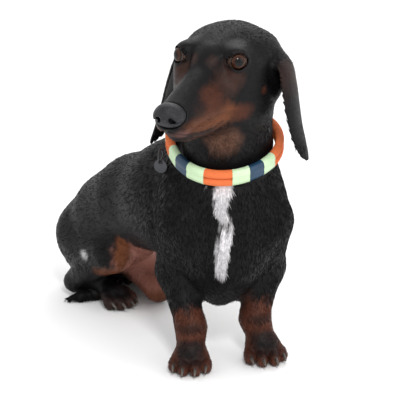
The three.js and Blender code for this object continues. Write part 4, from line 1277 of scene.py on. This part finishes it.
def nose_material():
    """Slate-black leather with a raised pebble in each Voronoi cell, painted shade in the grooves and painted
    light on the tops.
    """
    t = Tree("nose leather")
    where = t.place()
    cells = t.value(t.node("ShaderNodeTexVoronoi", {}, {"Vector": where, "Scale": 850.0}))
    fine = t.noise(where, 2500.0, 3.0)
    worn = t.noise(where, 120.0, 2.0)
    t.bump(1.0 - cells * 1.4 + fine * 0.3, 0.0004, 0.7)
    t.shader.inputs["Specular IOR Level"].default_value = 0.25
    colour = t.mix((worn * 1.6 - 0.3).clamp(), (0.008, 0.008, 0.010, 1), (0.022, 0.022, 0.027, 1))
    # The tint is painted shade in the grooves between the pebbles and painted light on their tops.
    return t.finish(Base_Color=t.tint(colour, 1.15 - cells * 0.5), Roughness=fine * 0.2 + 0.26)


nose.data.materials.append(nose_material())
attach(nose, "root")
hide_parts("nose")

# %% [markdown]
# ## Claws
# A claw is a curved horn, grey-black and paler at its tip, narrower across than it is tall. A bent cone
# would look cut off, so its thickness follows a curve that closes roundly at the tip. All sixteen are one
# array.

# %% Claws
claw_sets = [(paw_frames[side], PAW_SCALES[side]) for side in SIDES]
claw_sets += [(hind_frames[side], HIND_SCALE) for side in SIDES]
t = np.linspace(0, 1, 22)[:, None]
turn = np.linspace(0, 2 * math.pi, 17)[None, :-1]
thick = 2.8 * (1 - 0.82 * t**1.6) * np.sqrt(np.clip(1 - ((t - 0.86) / 0.14).clip(0, 1) ** 2, 0.002, 1))
claw_lines = []
for part, scale in claw_sets:
    for f, l in toe_rows:
        reach = (f + 9.5) * scale - 3 + 13 * t + 0 * turn
        side = l * scale * 1.04 + np.cos(turn) * thick * 0.72
        rise = TOE_HEIGHT + 0.4 - 3.4 * t**2 + np.sin(turn) * thick * (1 + 0.08 * np.cos(2 * turn))
        claw_lines.append(part.origin + np.stack([reach, side, rise], -1).reshape(-1, 3) @ part.axes)
claw_points = np.concatenate(claw_lines)
claws = mesh_object("claws", metres(claw_points), many(grid_faces(22, 16)[:, ::-1], 22 * 16, 16))
along = np.stack([t + 0 * turn, turn + 0 * t, 0 * t * turn], -1).reshape(-1, 3)
vector_layer(claws, "along", np.tile(along, (16, 1)))
print("claws", len(claw_lines))


def claw_material():
    """Dark horn, paler to its tip, with a fine grain."""
    t = Tree("claw horn")
    way = t.node("ShaderNodeSeparateXYZ", {}, {0: t.attribute("along", 1)})
    where = t.place()
    grain = t.noise(where, 900.0, 3.0)
    t.bump(grain, 0.0002, 0.4)
    pale = (t.value(way) * 1.3 - 0.25 + (grain - 0.5) * 0.5).clamp()
    colour = t.mix(pale, (0.012, 0.01, 0.01, 1), (0.11, 0.095, 0.08, 1))
    return t.finish(Base_Color=colour, Roughness=grain * 0.2 + 0.28)


claws.data.materials.append(claw_material())
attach(claws, "root")
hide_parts(*[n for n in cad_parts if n.startswith("claw")])

# %% [markdown]
# ## Collar
# Two braided cords lie one over the other round the neck, and smooth sleeves in mint and navy hide them
# in places. A plain ring would cut into the neck or stand off it. The collar's line is the neck's own
# outline in the collar's plane, found by stepping each of 64 ways outward to the skin, and then smoothed.

# %% Collar's line
STEPS = 64
BAND_THICK, BAND_TALL = 4.9, 8.6
collar_side = joint(1, 0, 0)
collar_back = np.cross(collar_normal, collar_side)


def collar_way(turn):
    """The way out from the collar's middle at a turn: cosine of side and sine of back."""
    a = np.asarray(turn)[..., None] * 2 * math.pi
    return np.cos(a) * collar_side + np.sin(a) * collar_back


radii = np.zeros(STEPS)
for lift in (-6, 0, 6):
    r = np.full(STEPS, 30.0)
    ways = collar_way(np.arange(STEPS) / STEPS)
    for _ in range(40):
        r -= field_at(neck_flesh, collar_centre + lift * collar_normal + ways * r[:, None])
    radii = np.maximum(radii, r)
line = sum(np.roll(radii, -k) for k in range(-2, 4)) / 6 + BAND_THICK + 0.8


def collar_line(turn):
    """The collar's distance from its middle at a turn round it."""
    steps = np.arange(-1, STEPS + 1)
    return np.interp(np.mod(turn, 1) * STEPS - 0.5, steps, line[steps % STEPS])


def on_collar(turn, out, rise):
    """Points beside the collar's line: out from it and up along its axis."""
    reach = (collar_line(turn) + out)[..., None]
    return collar_centre + collar_way(turn) * reach + rise[..., None] * collar_normal


print("collar reaches", float(line.min()), float(line.max()))

# %% [markdown]
# ## Cords and sleeves
# The pattern of orange, mint, navy and mint goes round four times, with one longer orange span on the
# dog's left. A real braid is many strands over and under. At this size it reads as a weave of bumps, so
# each cord is one tube whose radius rises along two crossing spirals, and each sleeve is a smooth oval
# with a faint waist between the cords.

# %% Pattern, cords and sleeves
PATTERN = [("orange", 0.07), ("mint", 0.048), ("navy", 0.047), ("mint", 0.05)]
TURNS = 4
LONG_EXTRA = 1 - TURNS * 0.215
FRONT = 0.725
starts = []
at = FRONT - 0.035
for turn in range(TURNS):
    for i, (label, usual) in enumerate(PATTERN):
        share = usual + (LONG_EXTRA if turn == 1 and i == 0 else 0)
        starts.append((label, turn * 4 + i + 1, at, share))
        at += share
AROUND = 2 * math.pi * 56
CORD_LIFTS = (-4.3, 4.3)


def cord(start, share, lift):
    """A braided cord: a tube whose radius rises where the strands of its two ways cross."""
    rows = max(24, int(share * AROUND / (0.4)))
    turn = np.linspace(start - 0.003, start + share + 0.003, rows)[:, None]
    a = np.linspace(0, 2 * math.pi, 49)[None, :]
    length = turn * AROUND
    one = np.sin(length * 1.15 + 6 * a)
    two = np.sin(length * 1.15 - 6 * a)
    r = 4.05 + 0.42 * np.maximum(np.abs(one), np.abs(two)) ** 2
    points = on_collar(turn + 0 * a, np.cos(a) * r, lift + np.sin(a) * r)
    lay = np.stack([length + 0 * a, a + 0 * length, np.maximum(np.abs(one), np.abs(two))], -1)
    return points.reshape(-1, 3), lay.reshape(-1, 3), grid_faces(rows, 49, closed=False)


def sleeve(start, share):
    """A sleeve: an oval with a faint waist, its ends rolled in to the cords."""
    reach = share * AROUND
    inner = np.linspace(0.12, reach - 0.12, 26)
    s = np.concatenate([[0.35, 0.12], inner, [reach - 0.12, reach - 0.35]])[:, None]
    shut = np.array([0.8, 0.93] + [1] * 26 + [0.93, 0.8])[:, None]
    a = np.linspace(0, 2 * math.pi, 57)[None, :-1]
    swell = 1 + 0.035 * np.exp(-((np.minimum(s, reach - s) / 1.2) ** 2))
    waist = 1 - 0.13 * np.exp(-((np.sin(a) / 0.22) ** 2))
    out = np.sign(np.cos(a)) * np.abs(np.cos(a)) ** 0.75 * BAND_THICK * waist * shut * swell
    rise = np.sign(np.sin(a)) * np.abs(np.sin(a)) ** 0.85 * BAND_TALL * shut * swell
    turn = start + s / AROUND
    return on_collar(turn + 0 * a, out, rise).reshape(-1, 3), grid_faces(30, 56)

# %% [markdown]
# ## Finishes of the collar
# The cords are matt woven fibre, with painted light on the raised strands and painted shade between them.
# The sleeves are smoother and a little mottled. The cords' weave follows their own length and turn, and
# the sleeves' mottle is the same all through.

# %% Collar materials and pieces
def cord_material():
    """Orange fibre, with painted light where the strands cross and painted shade between them."""
    t = Tree("braided cord")
    way = t.attribute("lay", 1)
    parts = t.node("ShaderNodeSeparateXYZ", {}, {0: way})
    high = t.value(parts, 2)
    fibre = t.noise(t.place(), 3500.0, 3.0, 0.6)
    along = t.value(parts, 0)
    around = t.value(parts, 1)
    strand = t.math("SINE", along * 9.0 + around * 24.0) * t.math("SINE", along * 9.0 - around * 24.0)
    t.bump(high + fibre * 0.35 + strand * 0.15, 0.0005, 0.7)
    # Painted light on the raised strands and painted shade between them, both from the strands' height.
    colour = t.mix((high * high * 1.15).clamp(), (0.3, 0.05, 0.01, 1), (0.86, 0.19, 0.045, 1))
    return t.finish(Base_Color=t.tint(colour, fibre * 0.5 + 0.75), Roughness=fibre * 0.2 + 0.6)


def sleeve_material(name, light, dark):
    """A smooth sleeve, mottled between its light and dark tones."""
    t = Tree(name)
    where = t.place()
    mottle = t.noise(where, 90.0, 3.0)
    fine = t.noise(where, 2200.0, 2.0)
    t.bump(mottle * 2.0 + fine * 0.25, 0.0004, 0.35)
    return t.finish(Base_Color=t.mix((mottle * 1.8 - 0.4).clamp(), dark, light), Roughness=fine * 0.12 + 0.36)


orange_spans = [(start, share) for label, _, start, share in starts if label == "orange"]
cords = [cord(start, share, lift) for start, share in orange_spans for lift in CORD_LIFTS]
offsets = np.cumsum([0] + [len(c[0]) for c in cords])
cord_points = np.concatenate([c[0] for c in cords])
cord_faces = np.concatenate([c[2] + offsets[i] for i, c in enumerate(cords)])
cord_object = mesh_object("collar_cords", metres(cord_points), cord_faces)
vector_layer(cord_object, "lay", np.concatenate([c[1] for c in cords]))
cord_object.data.materials.append(cord_material())
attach(cord_object, "root")
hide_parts(*[f"collar_orange_{n}" for label, n, _, _ in starts if label == "orange"])
print("cords", len(cords))

SLEEVE_COLOURS = {
    "mint": ((0.56, 0.72, 0.47, 1), (0.44, 0.6, 0.37, 1)),
    "navy": ((0.006, 0.042, 0.09, 1), (0.003, 0.025, 0.06, 1)),
}
for label, (light, dark) in SLEEVE_COLOURS.items():
    pieces = [sleeve(start, share) for name, _, start, share in starts if name == label]
    sleeve_points = np.concatenate([piece[0] for piece in pieces])
    sleeve_faces = many(pieces[0][1], len(pieces[0][0]), len(pieces))
    ob = mesh_object(f"collar_sleeves_{label}", metres(sleeve_points), sleeve_faces)
    ob.data.materials.append(sleeve_material(f"{label} sleeve", light, dark))
    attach(ob, "root")
    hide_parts(*[f"collar_{label}_{n}" for name, n, _, _ in starts if name == label])
    print("sleeves", label, len(pieces))

# %% [markdown]
# ## Tag
# A blank steel disc with a raised rim hangs on a wire ring. The ring is a torus. The disc's faces run
# from the circle of its hole to its outer circle and back on the other side, so the hole needs no
# cutting.

# %% Tag and ring
tag_turn = 0.52
ring_out = float(collar_line(tag_turn) + BAND_THICK + 6)
ring_centre = collar_centre + collar_way(tag_turn) * ring_out - collar_normal * BAND_TALL
tag_part = PartFrame(ring_centre, -20)
a = np.linspace(0, 2 * math.pi, 73)[None, :-1]
b = np.linspace(0, 2 * math.pi, 17)[:, None]
wire = 6.2 + 0.75 * np.cos(b)
ring_points = np.stack([wire * np.cos(a), 0.75 * np.sin(b) + 0 * a, wire * np.sin(a)], -1).reshape(-1, 3)
ring = mesh_object("tag_wire", metres(tag_part.origin + ring_points @ tag_part.axes), grid_faces(17, 72))
s = np.concatenate([np.linspace(0, 1, 24), np.linspace(1, 0, 24), [0]])[:, None]
h = np.concatenate([np.ones(24), -np.ones(24), [1]])[:, None]
rim = np.exp(-(((s - 0.9) / 0.1) ** 2)) * 0.28 + np.exp(-((s / 0.12) ** 2)) * 0.12
edge = np.sqrt(np.clip(1 - ((s - 0.955) / 0.05).clip(0, 1) ** 2, 0.05, 1))
across = (1 - s) * 2.3 * np.cos(a) + s * 7.2 * np.cos(a)
tall = (1 - s) * (4.2 + 2.3 * np.sin(a)) + s * 7.2 * np.sin(a)
disc_points = np.stack([h * (0.42 + rim) * edge + 0 * a, across, tall - 11.6], -1).reshape(-1, 3)
disc = mesh_object("tag_disc", metres(tag_part.origin + disc_points @ tag_part.axes), grid_faces(49, 72))
print("tag hangs at", metres(ring_centre))


def tag_material():
    """Dark brushed steel, worn in patches."""
    t = Tree("tag steel")
    where = t.place()
    long = t.vector("MULTIPLY", where, (400.0, 400.0, 6000.0))
    brushed = t.noise(long, 1.0, 3.0)
    worn = t.noise(where, 260.0, 3.0)
    t.bump(brushed + worn * 0.6, 0.00012, 0.5)
    colour = t.mix(worn, (0.045, 0.046, 0.05, 1), (0.09, 0.092, 0.1, 1))
    return t.finish(Base_Color=colour, Roughness=brushed * 0.25 + 0.3, Metallic=0.85)


steel = tag_material()
for ob, node in ((ring, "tag_ring"), (disc, "tag")):
    ob.data.materials.append(steel)
    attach(ob, "root")
    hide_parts(node)

# %% [markdown]
# ## Camera, lights and floor
# The photo was taken from a little above with a long lens, on white. The camera stands where its lines
# say it stood. A white world and three soft squares of light give the even studio light, the smallest of
# them in front, so that it glints in the eyes. The floor is plain and pale.

# %% Camera
CAMERA_PITCH = 18
CAMERA_DISTANCE = 1.9
PIXEL_AT_DOG = 1.03e-3
PHOTO_WIDTH = 400
SENSOR = 36


def lens_camera():
    """The photo's camera: its lens is as long as its sensor times distance over the width it sees there."""
    data = bpy.data.cameras.new("camera")
    cam = bpy.data.objects.new("camera", data)
    bpy.context.collection.objects.link(cam)
    pitch = math.radians(CAMERA_PITCH)
    target = metres(joint(-28.74, 60, 164))
    view = np.array([0, math.cos(pitch), -math.sin(pitch)]) @ TURN
    cam.location = Vector(target - view * CAMERA_DISTANCE)
    cam.rotation_euler = Vector(view).to_track_quat("-Z", "Y").to_euler()
    data.sensor_width = SENSOR
    data.lens = CAMERA_DISTANCE / PIXEL_AT_DOG / PHOTO_WIDTH * SENSOR
    bpy.context.scene.camera = cam
    print("lens", data.lens)


lens_camera()

# %% Lights
world = bpy.data.worlds.new("studio")
bpy.context.scene.world = world
world.use_nodes = True
world.node_tree.nodes["Background"].inputs["Color"].default_value = (1, 1, 1, 1)
world.node_tree.nodes["Background"].inputs["Strength"].default_value = 1.0


def area(name, place, target, size, power):
    """A square soft light at place, turned to target."""
    data = bpy.data.lights.new(name, "AREA")
    data.size = size
    data.energy = power
    ob = bpy.data.objects.new(name, data)
    bpy.context.collection.objects.link(ob)
    ob.location = Vector(place)
    ob.rotation_euler = (Vector(target) - Vector(place)).to_track_quat("-Z", "Y").to_euler()
    print(name, "light", power, "watts")


centre = metres(joint(-40, 80, 170))
area("key", centre + joint(200, -1500, 1300) * MM, centre, 0.34, 18)
area("fill", centre + joint(1500, -900, 700) * MM, centre, 1.4, 6)
area("rim", centre + joint(300, 1500, 1500) * MM, centre, 1.2, 9)

# %% Floor
floor_points = np.array([[-6, -6, 0], [6, -6, 0], [6, 6, 0], [-6, 6, 0]], float)
floor = mesh_object("floor", floor_points, [[0, 1, 2, 3]])
floor_paint = bpy.data.materials.new("floor")
floor_paint.use_nodes = True
floor_paint.node_tree.nodes["Principled BSDF"].inputs["Base Color"].default_value = (0.96, 0.96, 0.96, 1)
floor_paint.node_tree.nodes["Principled BSDF"].inputs["Roughness"].default_value = 0.9
bpy.context.scene.view_settings.view_transform = "Standard"
floor.data.materials.append(floor_paint)

# %% [markdown]
# ## Finish
# The view layer is brought up to date.

# %% Finish
bpy.context.view_layer.update()
